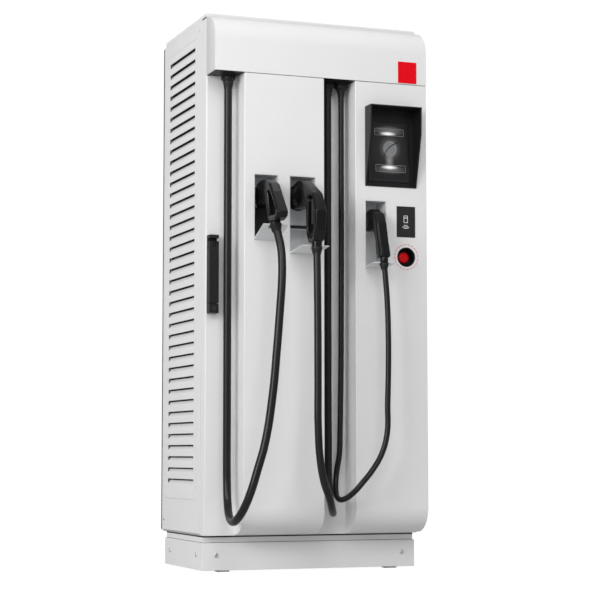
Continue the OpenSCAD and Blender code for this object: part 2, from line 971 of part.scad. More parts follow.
// A tongue that runs forward by reach and up by rise, with a notch for the cable
module tongue(h, reach, rise, notch_w, notch_d) {
    difference() {
        along_x(h[0] + 0.2, h[1] - 0.2)
            polygon([[y_cover + pocket_t, h[2] + 0.2], [y_cover, h[2] + 0.2],
                     [y_cover - reach, h[2] + rise], [y_cover - reach, h[2] + rise + pocket_t],
                     [y_cover + pocket_t, h[2] + pocket_t + 0.2]]);
        translate([(h[0] + h[1]) / 2, y_cover - reach, h[2] + rise])
            cube([notch_w, 2 * notch_d, 80], center = true);
    }
}

module ccs_holster() {
    color("silver")
        union() {
            pocket(ccs_hole);
            socket(ccs_x, ccs_nose_z, dc_nose_r);
            tongue(ccs_hole, 100, 42, ccs_cable_d + 14, 26);
        }
}

module chademo_holster() {
    h = chademo_hole;
    y1 = y_cover + pocket_d;
    color("silver")
        union() {
            pocket(h);
            socket(chademo_x, chademo_nose_z, dc_nose_r);
            tongue(h, 130, 14, chademo_cable_d + 14, 12);
            span([h[0] + 1, y_cover + 30, h[2] + 92], [h[1] - 1, y1 - 1, h[2] + 104]);
            difference() {
                span([h[0] + 1, y1 - 40, h[2] + 1], [h[1] - 1, y1 - 1, h[2] + 93]);
                rod_z([chademo_x, y1 - 49, h[2] + pocket_t], 46, 100);
            }
        }
}

module type2_holster() {
    color("silver")
        union() {
            pocket(type2_hole);
            socket(type2_x, type2_nose_z, ac_nose_r);
            tongue(type2_hole, 80, 10, type2_cable_d + 14, 27);
        }
}

// Display: a hood whose sides are deepest at the top, and a screen module inside it
module display_hood() {
    out = 55;
    t = 5;
    y_in = y_cover + 22;
    color("black")
        difference() {
            union() {
                along_x(display[0], display[1])
                    polygon([[y_in, display[2]], [y_cover - 3, display[2]],
                             [y_cover - out + 3, display[3] - 96], [y_cover - out, display[3]],
                             [y_in, display[3]]]);
                span([display[0] - 8, y_cover + cover_t, display[2] - 8],
                     [display[1] + 8, y_cover + cover_t + 2, display[3] + 8]);
            }
            span([display[0] + t, y_cover - out - eps, display[2] + t],
                 [display[1] - t, y_in - 4, display[3] - t]);
            span([display[0] + 20, y_in - 5, display[2] + 20],
                 [display[1] - 20, y_in + eps, display[3] - 50]);
        }
}

module display_screen() {
    color("darkslategray")
        union() {
            span([display[0] + 20.3, y_cover + 15, display[2] + 20.3],
                 [display[1] - 20.3, y_cover + 40, display[3] - 50.3]);
            span([display[0] + 12, y_cover + 22, display[2] + 12],
                 [display[1] - 12, y_cover + 40, display[3] - 12]);
        }
}

module card_reader() {
    color("black")
        union() {
            span([reader[0], y_cover - 1.5, reader[2]], [reader[1], y_cover, reader[3]]);
            span([reader[0] + 4.2, y_cover - eps, reader[2] + 4.2],
                 [reader[1] - 4.2, y_cover + 22, reader[3] - 4.2]);
        }
}

// Emergency stop: marker ring, well with contact block, stem and mushroom cap
module stop_ring() {
    color("red")
        difference() {
            rod_y([stop_x, y_cover - 0.8, stop_z], 46, 0.8);
            rod_y([stop_x, y_cover - 2, stop_z], 43.5, 4);
        }
}

module stop_housing() {
    t = 2.5;
    back = 44;
    color("black")
        difference() {
            union() {
                rod_y([stop_x, y_cover, stop_z], stop_r - 0.2, stop_floor - y_cover);
                rod_y([stop_x, y_cover + cover_t, stop_z], stop_r + 6, 2);
                translate([stop_x, stop_floor + back / 2 - 0.5, stop_z])
                    cube([44, back + 1, 44], center = true);
            }
            rod_y([stop_x, y_cover - eps, stop_z], stop_r - 0.2 - t, stop_floor - y_cover - t + eps);
            rod_y([stop_x, y_cover, stop_z], stem_r + 2 + run_fit, stem_end + stop_travel + 4 - y_cover);
        }
}

module stop_stem() {
    y0 = cap_face + 5;
    neck = cap_face + cap_h + 0.2;
    color("silver")
        union() {
            rod_y([stop_x, y0, stop_z], stem_r, neck - y0 + eps);
            rod_y([stop_x, neck, stop_z], stem_r + 2, stem_end - neck);
        }
}

module stop_cap() {
    round = 4;
    color("red")
        translate([stop_x, cap_face, stop_z])
            rotate([-90, 0, 0])
                difference() {
                    rotate_extrude()
                        difference() {
                            square([cap_r, cap_h]);
                            translate([cap_r - round, -eps])
                                difference() {
                                    square([round + eps, round + eps]);
                                    translate([0, round + eps])
                                        circle(round);
                                }
                        }
                    translate([0, 0, 4.5])
                        cylinder(h = cap_h, r = stem_r + run_fit);
                }
}

// Door handle: base with the lock's block, hub with its shaft and crank, lever, lock rods
module handle_base() {
    x0 = hub_x - handle_w / 2;
    x1 = hub_x + handle_w / 2;
    y_front = y_door - handle_p;
    y_step = y_door - handle_t;
    block_z = hub_z + norm([lever_half, lever_top]) + 2;
    color("black")
        difference() {
            union() {
                span([x0, y_step, handle_low], [x1, y_door, handle_top]);
                span([x0, y_front, handle_low], [x1, y_step, lock_top]);
                span([x0, y_front, block_z], [x1, y_step, handle_top]);
            }
            rod_y([hub_x, y_door - handle_t - eps, hub_z], shaft_r + run_fit, handle_t + 2 * eps);
            rod_y([hub_x, y_door - handle_p - eps, lock_z], 8 + run_fit, handle_p - 4 + eps);
        }
}

module handle_hub() {
    y0 = y_door - handle_t - play;
    lug_w = 10;
    color("silver")
        difference() {
            union() {
                rod_y([hub_x, y0 - 3, hub_z], 14, 3);
                rod_y([hub_x, y0 - 1, hub_z], shaft_r, crank_y - y0 + 1.5);
                span([hub_x - lug_w / 2, lever_pin_y - 5, hub_z - 6],
                     [hub_x + lug_w / 2, y0 - 2, hub_z + 6]);
                rod_y([hub_x, crank_y, hub_z], 17, 3);
                for (s = [-1, 1])
                    rod_y([hub_x + s * crank_r * cos(45), crank_y + 2.5, hub_z + s * crank_r * sin(45)],
                          crank_pin_r, rod_t + 2.5);
            }
            rod_x([hub_x - lug_w, lever_pin_y, hub_z], lever_pin_r + run_fit, 2 * lug_w);
        }
}

module handle_lever() {
    z0 = lock_top + 2;
    top = hub_z + lever_top;
    slot = 5 + play;
    color("black")
        difference() {
            union() {
                along_x(hub_x - lever_half, hub_x + lever_half)
                    polygon([[lever_y, z0], [y_door - handle_p, z0], [y_door - handle_p, top],
                             [lever_pin_y + 5, top], [lever_pin_y + 5, hub_z - 17],
                             [lever_y, hub_z - 17]]);
            }
            span([hub_x - slot, y_door - handle_p - eps, hub_z - 8 - play],
                 [hub_x + slot, lever_pin_y + 10, hub_z + 10]);
            span([hub_x - 1.5, y_door - handle_p - eps, z0 + 20],
                 [hub_x + 1.5, y_door - handle_p + 2, hub_z - 12]);
        }
    color("silver")
        rod_x([hub_x - lever_half + 2, lever_pin_y, hub_z], lever_pin_r, 2 * lever_half - 4);
}

module lock_cylinder() {
    y0 = y_door - handle_p - 1;
    color("silver")
        difference() {
            rod_y([hub_x, y0, lock_z], 8, handle_p - 6);
            span([hub_x - 1, y0 - eps, lock_z - 4], [hub_x + 1, y0 + 6, lock_z + 4]);
        }
}

// A lock rod: end plate with a cross slot for the crank's pin, and a flat bar to the door's end.
// s is 1 for the upper rod and -1 for the lower one
module lock_rod(s, z_end) {
    pin_z = hub_z + s * crank_r * sin(45);
    slot_h2 = crank_pin_r + 0.8;
    x_in = crank_r * cos(45) - crank_pin_r - 0.6;
    x_out = crank_r + crank_pin_r + 0.6;
    xs = hub_x + s * rod_off;
    lo = min(pin_z, z_end);
    hi = max(pin_z, z_end);
    difference() {
        union() {
            span([xs - 7.5, rod_y, pin_z - 7], [xs + 7.5, rod_y + rod_t, pin_z + 7]);
            span([xs - rod_w / 2, rod_y, lo], [xs + rod_w / 2, rod_y + rod_t, hi]);
        }
        span([min(hub_x + s * x_in, hub_x + s * x_out), rod_y - eps, pin_z - slot_h2],
             [max(hub_x + s * x_in, hub_x + s * x_out), rod_y + rod_t + eps, pin_z + slot_h2]);
    }
}

module upper_lock_rod() {
    color("silver")
        lock_rod(1, z_door_top - 14);
}

module lower_lock_rod() {
    color("silver")
        lock_rod(-1, z_door + 14);
}

// Connectors: a flat-sided body with a finger opening, a round nose and a cable boss

// Outline points are [distance in front of the cover, height]
function outline(pts) = [for (p = pts) [y_cover - p.x, p.y]];

module connector(x, w, outer, opening) {
    along_x(x - w / 2, x + w / 2)
        difference() {
            polygon(outline(outer));
            if (len(opening) > 0)
                polygon(outline(opening));
        }
}

module ccs_connector() {
    color("black")
        union() {
            connector(ccs_x, 40,
                      [[-49.7, 1264], [-49.7, 1350], [-8, 1358], [47, 1352], [87, 1334], [174, 1226],
                       [164, 1208], [140, 1200], [74, 1200], [44, 1264]],
                      [[68, 1298], [100, 1228], [140, 1228], [146, 1238], [86, 1298]]);
            rod_y([ccs_x, plug_y - 4, ccs_nose_z], dc_nose_r, nose_back - plug_y + 4);
            translate(ccs_exit)
                rotate([-ccs_tilt, 0, 0])
                    cylinder(h = 20, r = 18);
        }
}

module chademo_connector() {
    color("black")
        difference() {
            union() {
                connector(chademo_x, 40,
                          [[-49.7, 1264], [-49.7, 1352], [-8, 1362], [47, 1354], [92, 1330],
                           [147, 1300], [184, 1236], [174, 1165], [160, 1132], [104, 1128],
                           [88, 1160], [80, 1264]],
                          [[109, 1290], [109, 1170], [122, 1150], [144, 1150], [155, 1180],
                           [161, 1236], [139, 1280], [125, 1292]]);
                rod_y([chademo_x, plug_y - 60, chademo_nose_z], 38, 60);
                rod_y([chademo_x, plug_y - 4, chademo_nose_z], dc_nose_r, nose_back - plug_y + 4);
                rod_z([chademo_exit.x, chademo_exit.y, chademo_exit.z], 18, 20);
            }
            span([chademo_x - 8.5, y_cover - 110, 1190], [chademo_x + 8.5, y_cover - 93, 1289]);
            rod_x([chademo_x - 14, y_cover - 103, 1278], 2.5 + run_fit, 28);
        }
}

module chademo_trigger() {
    color("dimgray")
        union() {
            span([chademo_x - 8, y_cover - 115, 1195], [chademo_x + 8, y_cover - 101, 1284]);
            rod_x([chademo_x - 13.5, y_cover - 103, 1278], 2.5, 27);
        }
}

module type2_connector() {
    color("black")
        union() {
            connector(type2_x, 42,
                      [[-49.7, 1198], [-49.7, 1262], [-40, 1274], [-8, 1276], [32, 1258],
                       [53, 1222], [72, 1153], [88, 1110], [88, 1096], [60, 1090], [44, 1110],
                       [38, 1160], [20, 1196]],
                      []);
            rod_y([type2_x, plug_y - 4, type2_nose_z], ac_nose_r, nose_back - plug_y + 4);
            rod_z([type2_exit.x, type2_exit.y, type2_exit.z], 14, 20);
        }
}

// Cables: a round tube swept through the points of its route
function unit(v) = v / norm(v);

function tangent(p, i) = unit(p[min(i + 1, len(p) - 1)] - p[max(i - 1, 0)]);

// The first ring lies level under its gland, and the last one square to the connector's boss
function ring_axis(p, i, tilt) =
    i == 0 ? [0, 0, -1] : i == len(p) - 1 ? [0, sin(tilt), cos(tilt)] : tangent(p, i);

function ring(p, i, r, n, tilt) =
    let (t = ring_axis(p, i, tilt), a = unit(cross(t, [1, 0, 0])), b = cross(t, a))
    [for (k = [0 : n - 1]) p[i] + r * (cos(360 * k / n) * a + sin(360 * k / n) * b)];

module cable(p, d, tilt = 0) {
    n = 12;
    m = len(p);
    points = [for (i = [0 : m - 1]) each ring(p, i, d / 2, n, tilt)];
    sides = [
        for (i = [0 : m - 2], k = [0 : n - 1])
            [i * n + k, i * n + (k + 1) % n, (i + 1) * n + (k + 1) % n, (i + 1) * n + k]
    ];
    first = [for (k = [n - 1 : -1 : 0]) k];
    last = [for (k = [0 : n - 1]) (m - 1) * n + k];
    color("black")
        polyhedron(points, concat(sides, [first, last]));
}

module ccs_cable() {
    cable(ccs_route, ccs_cable_d, ccs_tilt);
}

module chademo_cable() {
    cable(chademo_route, chademo_cable_d);
}

module type2_cable() {
    cable(type2_route, type2_cable_d);
}

// Rear door with welded hinge leaves and two captive screws
module rear_door() {
    y0 = y_back + rear_gasket_t;
    y1 = y0 + rear_t;
    color("whitesmoke")
        union() {
            difference() {
                span([-half_w, y0, z_door], [half_w, y1, z_door_top]);
                span([-half_w + skin_t, y0 + skin_t, z_door + skin_t],
                     [half_w - skin_t, y1 - skin_t, z_door_top - skin_t]);
                span([-half_w + door_flange, y0 - eps, z_door + door_flange],
                     [half_w - door_flange, y0 + skin_t + eps, z_door_top - door_flange]);
            }
            for (z = [z_body + 300, z_roof - 300])
                rod_y([-half_w + 30, y1 - 1, z], 9, 4);
            for (z = hinge_z)
                translate([hinge_x, rear_hinge_y, z])
                    mirror([0, 1, 0])
                        moving_leaf(rear_gasket_t / 2);
        }
}

anchor_pads();
plinth_rails();
plinth_skirts();
case_bolts();
base_plate();
gland_plate();
corner_posts();
roof_rails();
left_side_frame();
right_side_frame();
left_louvre_panel();
right_louvre_panel();
filter_mats();
roof_cap();
module_rack();
power_modules();
mounting_plate();
din_rails();
contactors();
circuit_breakers();
control_unit();
isolator_body();
isolator_knob();
fan_housings();
upper_fan_rotor();
lower_fan_rotor();
door_gaskets();
fixed_hinge_leaves();
hinge_pins();
door_leaf();
door_hinge_leaves();
left_cover();
right_cover();
fascia();
badge();
cable_glands();
ccs_holster();
chademo_holster();
type2_holster();
display_hood();
display_screen();
card_reader();
stop_ring();
stop_housing();
stop_stem();
stop_cap();
handle_base();
handle_hub();
handle_lever();
lock_cylinder();
upper_lock_rod();
lower_lock_rod();
ccs_connector();
chademo_connector();
chademo_trigger();
type2_connector();
ccs_cable();
chademo_cable();
type2_cable();
rear_door();
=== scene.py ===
import json
import math

import bpy
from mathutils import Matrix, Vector

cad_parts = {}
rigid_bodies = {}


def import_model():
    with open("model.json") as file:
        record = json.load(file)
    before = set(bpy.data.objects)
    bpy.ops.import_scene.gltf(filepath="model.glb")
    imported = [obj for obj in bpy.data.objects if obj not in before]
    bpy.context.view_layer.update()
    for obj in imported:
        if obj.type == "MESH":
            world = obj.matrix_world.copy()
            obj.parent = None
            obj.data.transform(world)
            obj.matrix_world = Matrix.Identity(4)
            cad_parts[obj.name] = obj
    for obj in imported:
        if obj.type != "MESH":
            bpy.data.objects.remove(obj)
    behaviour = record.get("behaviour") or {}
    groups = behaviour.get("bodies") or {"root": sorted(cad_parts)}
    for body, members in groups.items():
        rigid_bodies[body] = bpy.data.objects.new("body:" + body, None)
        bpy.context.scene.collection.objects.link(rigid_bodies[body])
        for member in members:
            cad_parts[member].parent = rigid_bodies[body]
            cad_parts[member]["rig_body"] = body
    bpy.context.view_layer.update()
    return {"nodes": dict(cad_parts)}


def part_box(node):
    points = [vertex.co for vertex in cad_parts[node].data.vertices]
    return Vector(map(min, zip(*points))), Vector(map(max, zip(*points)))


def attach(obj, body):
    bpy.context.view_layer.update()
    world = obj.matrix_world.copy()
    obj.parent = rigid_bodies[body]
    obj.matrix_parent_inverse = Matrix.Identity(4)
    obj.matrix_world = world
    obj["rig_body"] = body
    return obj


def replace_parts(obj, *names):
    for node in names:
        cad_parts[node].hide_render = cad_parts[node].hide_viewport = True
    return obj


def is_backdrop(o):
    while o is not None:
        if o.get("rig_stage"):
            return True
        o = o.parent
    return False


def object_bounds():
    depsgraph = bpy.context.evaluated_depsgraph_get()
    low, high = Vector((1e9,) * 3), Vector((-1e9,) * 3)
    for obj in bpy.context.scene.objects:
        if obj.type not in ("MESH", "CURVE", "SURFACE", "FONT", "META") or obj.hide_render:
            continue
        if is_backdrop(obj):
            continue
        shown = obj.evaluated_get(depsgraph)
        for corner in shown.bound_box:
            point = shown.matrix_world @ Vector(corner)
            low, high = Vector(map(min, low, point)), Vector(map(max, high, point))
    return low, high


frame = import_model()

# Camera: a long lens that stands low, in front of the cabinet's left corner, and looks a little
# upwards at it.
bpy.ops.object.camera_add(
    location=(-2.2730, -6.1761, 0.4134),
    rotation=(math.radians(94.86), 0, math.radians(-20.58)),
)
camera = bpy.context.object
camera.data.lens = 107.47
camera.data.sensor_width = 36
bpy.context.scene.camera = camera


# Charging cables: three round cables with black rubber sheaths. Each comes down from its gland
# under the fascia, hangs in a loop and goes up into its connector.


def surface(
    name, colour, roughness, grain, depth, vary=0.06, metallic=0.0, stretch=(1, 1, 1), shine=0.5
):
    """A coated, moulded or rolled surface: fine grain in cells per metre and its depth in metres,
    with a slow drift in its colour and gloss."""
    material = bpy.data.materials.new(name)
    material.use_nodes = True
    nodes = material.node_tree.nodes
    links = material.node_tree.links
    shader = nodes["Principled BSDF"]
    shader.inputs["Metallic"].default_value = metallic
    shader.inputs["Specular IOR Level"].default_value = shine
    place = nodes.new("ShaderNodeTexCoord")
    run = nodes.new("ShaderNodeMapping")
    run.inputs["Scale"].default_value = stretch
    links.new(place.outputs["Object"], run.inputs["Vector"])
    fine = nodes.new("ShaderNodeTexNoise")
    fine.inputs["Scale"].default_value = grain
    fine.inputs["Detail"].default_value = 3
    links.new(run.outputs["Vector"], fine.inputs["Vector"])
    slow = nodes.new("ShaderNodeTexNoise")
    slow.inputs["Scale"].default_value = 5
    links.new(place.outputs["Object"], slow.inputs["Vector"])
    tint = nodes.new("ShaderNodeValToRGB")
    tint.color_ramp.elements[0].position = 0.3
    tint.color_ramp.elements[1].position = 0.7
    tint.color_ramp.elements[0].color = [c * (1 - vary) for c in colour] + [1]
    tint.color_ramp.elements[1].color = [min(1, c * (1 + vary)) for c in colour] + [1]
    links.new(slow.outputs["Fac"], tint.inputs["Fac"])
    links.new(tint.outputs["Color"], shader.inputs["Base Color"])
    gloss = nodes.new("ShaderNodeMapRange")
    gloss.inputs["To Min"].default_value = roughness - 0.07
    gloss.inputs["To Max"].default_value = roughness + 0.07
    links.new(fine.outputs["Fac"], gloss.inputs["Value"])
    links.new(gloss.outputs["Result"], shader.inputs["Roughness"])
    relief = nodes.new("ShaderNodeBump")
    relief.inputs["Distance"].default_value = depth
    links.new(fine.outputs["Fac"], relief.inputs["Height"])
    links.new(relief.outputs["Normal"], shader.inputs["Normal"])
    return material


def ready(piece, material, body):
    """The last steps of a new piece: its material and the body that carries it."""
    piece.data.materials.clear()
    piece.data.materials.append(material)
    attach(piece, body)
    return piece


cable_rubber = surface("cable_rubber", (0.008, 0.008, 0.0085), 0.3, 260, 0.00015, 0.15, shine=0.28)

ccs_route = [
    (-0.334, -0.296, 1.704), (-0.334, -0.296, 1.600), (-0.334, -0.296, 1.400), (-0.334, -0.296, 1.200),
    (-0.334, -0.296, 1.000), (-0.334, -0.296, 0.800), (-0.334, -0.296, 0.600), (-0.334, -0.296, 0.450),
    (-0.334, -0.296, 0.370), (-0.334, -0.299, 0.300), (-0.337, -0.315, 0.242), (-0.344, -0.352, 0.199),
    (-0.350, -0.406, 0.180), (-0.349, -0.461, 0.193), (-0.339, -0.503, 0.232), (-0.322, -0.522, 0.288),
    (-0.304, -0.527, 0.350), (-0.275, -0.524, 0.445), (-0.247, -0.518, 0.600), (-0.229, -0.513, 0.765),
    (-0.216, -0.507, 0.900), (-0.208, -0.501, 0.985), (-0.204, -0.493, 1.050), (-0.204, -0.480, 1.110),
    (-0.208, -0.466, 1.150), (-0.212, -0.450, 1.190),
]
chademo_route = [
    (0.040, -0.296, 1.704), (0.040, -0.296, 1.600), (0.040, -0.296, 1.400), (0.040, -0.296, 1.200),
    (0.040, -0.296, 1.000), (0.040, -0.296, 0.800), (0.040, -0.296, 0.600), (0.041, -0.296, 0.450),
    (0.041, -0.296, 0.380), (0.041, -0.299, 0.322), (0.039, -0.314, 0.268), (0.031, -0.350, 0.225),
    (0.015, -0.405, 0.205), (-0.009, -0.459, 0.219), (-0.035, -0.499, 0.260), (-0.060, -0.515, 0.312),
    (-0.076, -0.522, 0.380), (-0.085, -0.524, 0.500), (-0.084, -0.520, 0.640), (-0.082, -0.514, 0.800),
    (-0.080, -0.506, 0.950), (-0.078, -0.497, 1.050), (-0.0765, -0.4905, 1.112),
]
type2_route = [
    (0.092, -0.296, 1.704), (0.092, -0.296, 1.550), (0.092, -0.296, 1.350), (0.092, -0.296, 1.150),
    (0.091, -0.296, 0.950), (0.090, -0.296, 0.750), (0.088, -0.296, 0.600), (0.086, -0.296, 0.500),
    (0.084, -0.293, 0.408), (0.077, -0.281, 0.333), (0.066, -0.305, 0.278), (0.059, -0.349, 0.252),
    (0.063, -0.393, 0.252), (0.079, -0.432, 0.273), (0.110, -0.452, 0.313), (0.149, -0.450, 0.358),
    (0.182, -0.448, 0.412), (0.201, -0.448, 0.480), (0.205, -0.444, 0.580), (0.210, -0.440, 0.700),
    (0.212, -0.436, 0.830), (0.210, -0.431, 0.950), (0.205, -0.428, 1.030), (0.2015, -0.4265, 1.074),
]
ccs_diameter = 0.028
chademo_diameter = 0.026
type2_diameter = 0.020


def smooth_line(name, points):
    """A curve that runs smoothly through the points."""
    bpy.ops.object.select_all(action="DESELECT")
    bpy.ops.curve.primitive_bezier_curve_add()
    piece = bpy.context.object
    piece.name = name
    spline = piece.data.splines[0]
    spline.bezier_points.add(len(points) - 2)
    for knot, place in zip(spline.bezier_points, points):
        knot.co = place
        knot.handle_left_type = "AUTO"
        knot.handle_right_type = "AUTO"
    return piece


def cable(name, route, diameter):
    """A smooth round cable along its route."""
    piece = smooth_line(name, route)
    piece.data.resolution_u = 8
    piece.data.bevel_depth = diameter / 2
    piece.data.bevel_resolution = 8
    piece.data.use_fill_caps = True
    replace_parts(piece, name.replace("_line", ""))
    return ready(piece, cable_rubber, "front_door")


ccs_line = cable("ccs_cable_line", ccs_route, ccs_diameter)
chademo_line = cable("chademo_cable_line", chademo_route, chademo_diameter)
type2_line = cable("type2_cable_line", type2_route, type2_diameter)


# Cable glands and strain reliefs: a black nylon gland with a ribbed dome nut screws up into the
# fascia's underside, and a tapered rubber sleeve leads each cable out of it.


def turned(name, profile, sides=48):
    """A solid turned about Z, from its profile as (height, radius) from one end to the other."""
    bpy.ops.object.select_all(action="DESELECT")
    height, radius = profile[0]
    bpy.ops.mesh.primitive_circle_add(
        vertices=sides, radius=radius, fill_type="NGON", location=(0, 0, height)
    )
    piece = bpy.context.object
    piece.name = name
    bpy.ops.object.transform_apply()
    bpy.ops.object.mode_set(mode="EDIT")
    bpy.ops.mesh.select_all(action="SELECT")
    for (low, inner), (high, outer) in zip(profile, profile[1:]):
        bpy.ops.mesh.extrude_region_move(TRANSFORM_OT_translate={"value": (0, 0, high - low)})
        scale = outer / inner
        bpy.ops.transform.resize(value=(scale, scale, 1), center_override=(0, 0, high))
    bpy.ops.mesh.select_all(action="SELECT")
    bpy.ops.mesh.normals_make_consistent(inside=False)
    bpy.ops.object.mode_set(mode="OBJECT")
    bpy.ops.object.shade_smooth_by_angle(angle=math.radians(35))
    return piece


def pick(piece):
    """Selects one piece alone."""
    bpy.ops.object.select_all(action="DESELECT")
    piece.select_set(True)
    bpy.context.view_layer.objects.active = piece


def put(piece, place, tilt=(0, 0, 0)):
    """Turns a piece that was made at the origin by tilt, in degrees, and moves it to its place."""
    pick(piece)
    piece.rotation_euler = [math.radians(a) for a in tilt]
    piece.location = place
    bpy.ops.object.transform_apply(location=True, rotation=True, scale=True)
    return piece


def joined(name, pieces):
    """Several solids as one piece."""
    bpy.ops.object.select_all(action="DESELECT")
    for piece in pieces:
        piece.select_set(True)
    bpy.context.view_layer.objects.active = pieces[0]
    bpy.ops.object.join()
    pieces[0].name = name
    return pieces[0]


black_polyamide = surface("black_polyamide", (0.007, 0.007, 0.0075), 0.42, 1500, 0.00012, 0.1, shine=0.3)
soft_rubber = surface("soft_rubber", (0.01, 0.01, 0.011), 0.55, 900, 0.00015, 0.1, shine=0.35)

gland_flange = 0.027
gland_dome = 0.023
gland_neck = 0.020
dome_ribs = 16
fascia_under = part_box("fascia")[0].z
gland_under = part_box("cable_glands")[0].z
gland_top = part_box("cable_glands")[1].z
sleeve_length = 0.022


def sleeve(name, diameter, length, ribs=4, wall=0.0055):
    """A tapered strain relief with raised ribs below a plain collar, made downwards from the
    origin."""
    collar = 0.006
    thick = diameter / 2 + wall
    thin = diameter / 2 + 0.0012
    profile = [(0, thick + 0.001), (-collar, thick + 0.001)]
    pitch = (length - collar) / ribs
    for i in range(ribs):
        start = -collar - i * pitch
        radius = thick + (thin - thick) * (i + 0.5) / ribs
        profile += [(start - 0.0015, radius - 0.0012), (start - pitch * 0.4, radius - 0.0012)]
        profile += [(start - pitch * 0.5, radius), (start - pitch * 0.95, radius)]
    profile += [(-length, thin)]
    return turned(name, profile)


def gland(name, route, diameter):
    """The gland of one cable, with its hexagon flange, dome nut, lock nut and sleeve."""
    x, y, _ = route[0]
    drop = fascia_under - gland_under
    flange_t = 0.006
    flange = [(0, gland_flange), (-0.0045, gland_flange), (-flange_t, gland_flange - 0.002)]
    dome = [
        (0, gland_dome - 0.001), (-0.002, gland_dome), (-0.014, gland_dome), (-0.018, gland_dome - 0.002),
        (-0.021, gland_dome - 0.005), (flange_t - drop, diameter / 2 + 0.004),
    ]
    parts = [turned("flange", flange, 6)]
    parts += [put(turned("dome", dome), (0, 0, -flange_t))]
    for i in range(dome_ribs):
        angle = math.tau * i / dome_ribs
        rib = turned("rib", [(-0.008, 0.0016), (-0.021, 0.0016)], 8)
        parts += [put(rib, (gland_dome * math.cos(angle), gland_dome * math.sin(angle), 0))]
    parts += [turned("neck", [(-0.001, gland_neck), (gland_top - fascia_under, gland_neck)])]
    parts += [turned("nut", [(0.003, gland_flange), (0.009, gland_flange)], 6)]
    piece = put(joined(name, parts), (x, y, fascia_under))
    ready(piece, black_polyamide, "front_door")
    relief = put(sleeve(name + "_sleeve", diameter, sleeve_length, 2, 0.003), (x, y, gland_under))
    ready(relief, soft_rubber, "front_door")
    return piece, relief


ccs_gland, ccs_gland_sleeve = gland("ccs_gland", ccs_route, ccs_diameter)
_, chademo_gland_sleeve = gland("chademo_gland", chademo_route, chademo_diameter)
_, type2_gland_sleeve = gland("type2_gland", type2_route, type2_diameter)
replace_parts(ccs_gland, "cable_glands")


# Plinth: a welded base of folded and powder-coated steel sheet round four square tubes. It stands
# on galvanised anchor pads, and a white strip closes the recess under the body. Thin black strips
# along its top and its foot paint the shadow lines in that recess.


def formed(node, material, edge, steps=3, rounds=()):
    """A copy of a CAD node with its sharp arrises rounded by edge, in metres, which takes the plain
    node's place. rounds lists (test, radius) for edges that are rounded more, such as folds."""
    source = frame["nodes"][node]
    piece = bpy.data.objects.new(node + "_finished", source.data.copy())
    bpy.context.collection.objects.link(piece)
    pick(piece)
    bpy.ops.mesh.customdata_custom_splitnormals_clear()
    bpy.ops.object.mode_set(mode="EDIT")
    bpy.ops.mesh.select_all(action="SELECT")
    bpy.ops.mesh.remove_doubles(threshold=0.00001)
    bpy.ops.mesh.dissolve_limited(angle_limit=math.radians(0.5))
    bpy.ops.object.mode_set(mode="OBJECT")
    for test, radius in rounds:
        pick_edges(piece, test)
        bpy.ops.mesh.bevel(offset=radius, segments=8, affect="EDGES", clamp_overlap=False)
        bpy.ops.object.mode_set(mode="OBJECT")
    arris = piece.modifiers.new("arris", "BEVEL")
    arris.width = edge
    arris.segments = steps
    arris.limit_method = "ANGLE"
    arris.angle_limit = math.radians(40)
    bpy.ops.object.modifier_apply(modifier="arris")
    bpy.ops.object.shade_smooth_by_angle(angle=math.radians(35))
    even = piece.modifiers.new("even", "WEIGHTED_NORMAL")
    even.keep_sharp = True
    bpy.ops.object.modifier_apply(modifier="even")
    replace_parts(piece, node)
    return ready(piece, material, source["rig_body"])


def pick_edges(piece, test):
    """Goes into edit mode with the edges selected whose two ends pass the test."""
    for item in (*piece.data.vertices, *piece.data.edges, *piece.data.polygons):
        item.select = False
    bpy.context.tool_settings.mesh_select_mode = (False, True, False)
    for edge in piece.data.edges:
        a, b = (piece.data.vertices[i].co for i in edge.vertices)
        edge.select = test(a, b)
    bpy.ops.object.mode_set(mode="EDIT")


def dress(node, material):
    """Gives a carried-over CAD node its material."""
    data = frame["nodes"][node].data
    data.materials.clear()
    data.materials.append(material)


powder_coat = surface("powder_coat", (0.74, 0.74, 0.74), 0.45, 700, 0.00006, 0.012)
zinc_plate = surface("zinc_plate", (0.62, 0.63, 0.64), 0.36, 300, 0.00004, 0.08, 0.9, (1, 1, 6))

dress("anchor_pads", zinc_plate)
dress("plinth_rails", powder_coat)
formed("plinth_skirts", powder_coat, 0.0012)


def panel(name, low, high, material, body="front_door", edge=0.0003):
    """A thin plate between two corners, with its arrises taken off."""
    bpy.ops.object.select_all(action="DESELECT")
    middle = [(p + q) / 2 for p, q in zip(low, high)]
    bpy.ops.mesh.primitive_cube_add(size=1, location=middle, scale=[q - p for p, q in zip(low, high)])
    piece = bpy.context.object
    piece.name = name
    bpy.ops.object.transform_apply(location=True, rotation=True, scale=True)
    bpy.ops.object.mode_set(mode="EDIT")
    bpy.ops.mesh.select_all(action="SELECT")
    bpy.ops.mesh.bevel(offset=edge, segments=2, affect="EDGES")
    bpy.ops.object.mode_set(mode="OBJECT")
    return ready(piece, material, body)


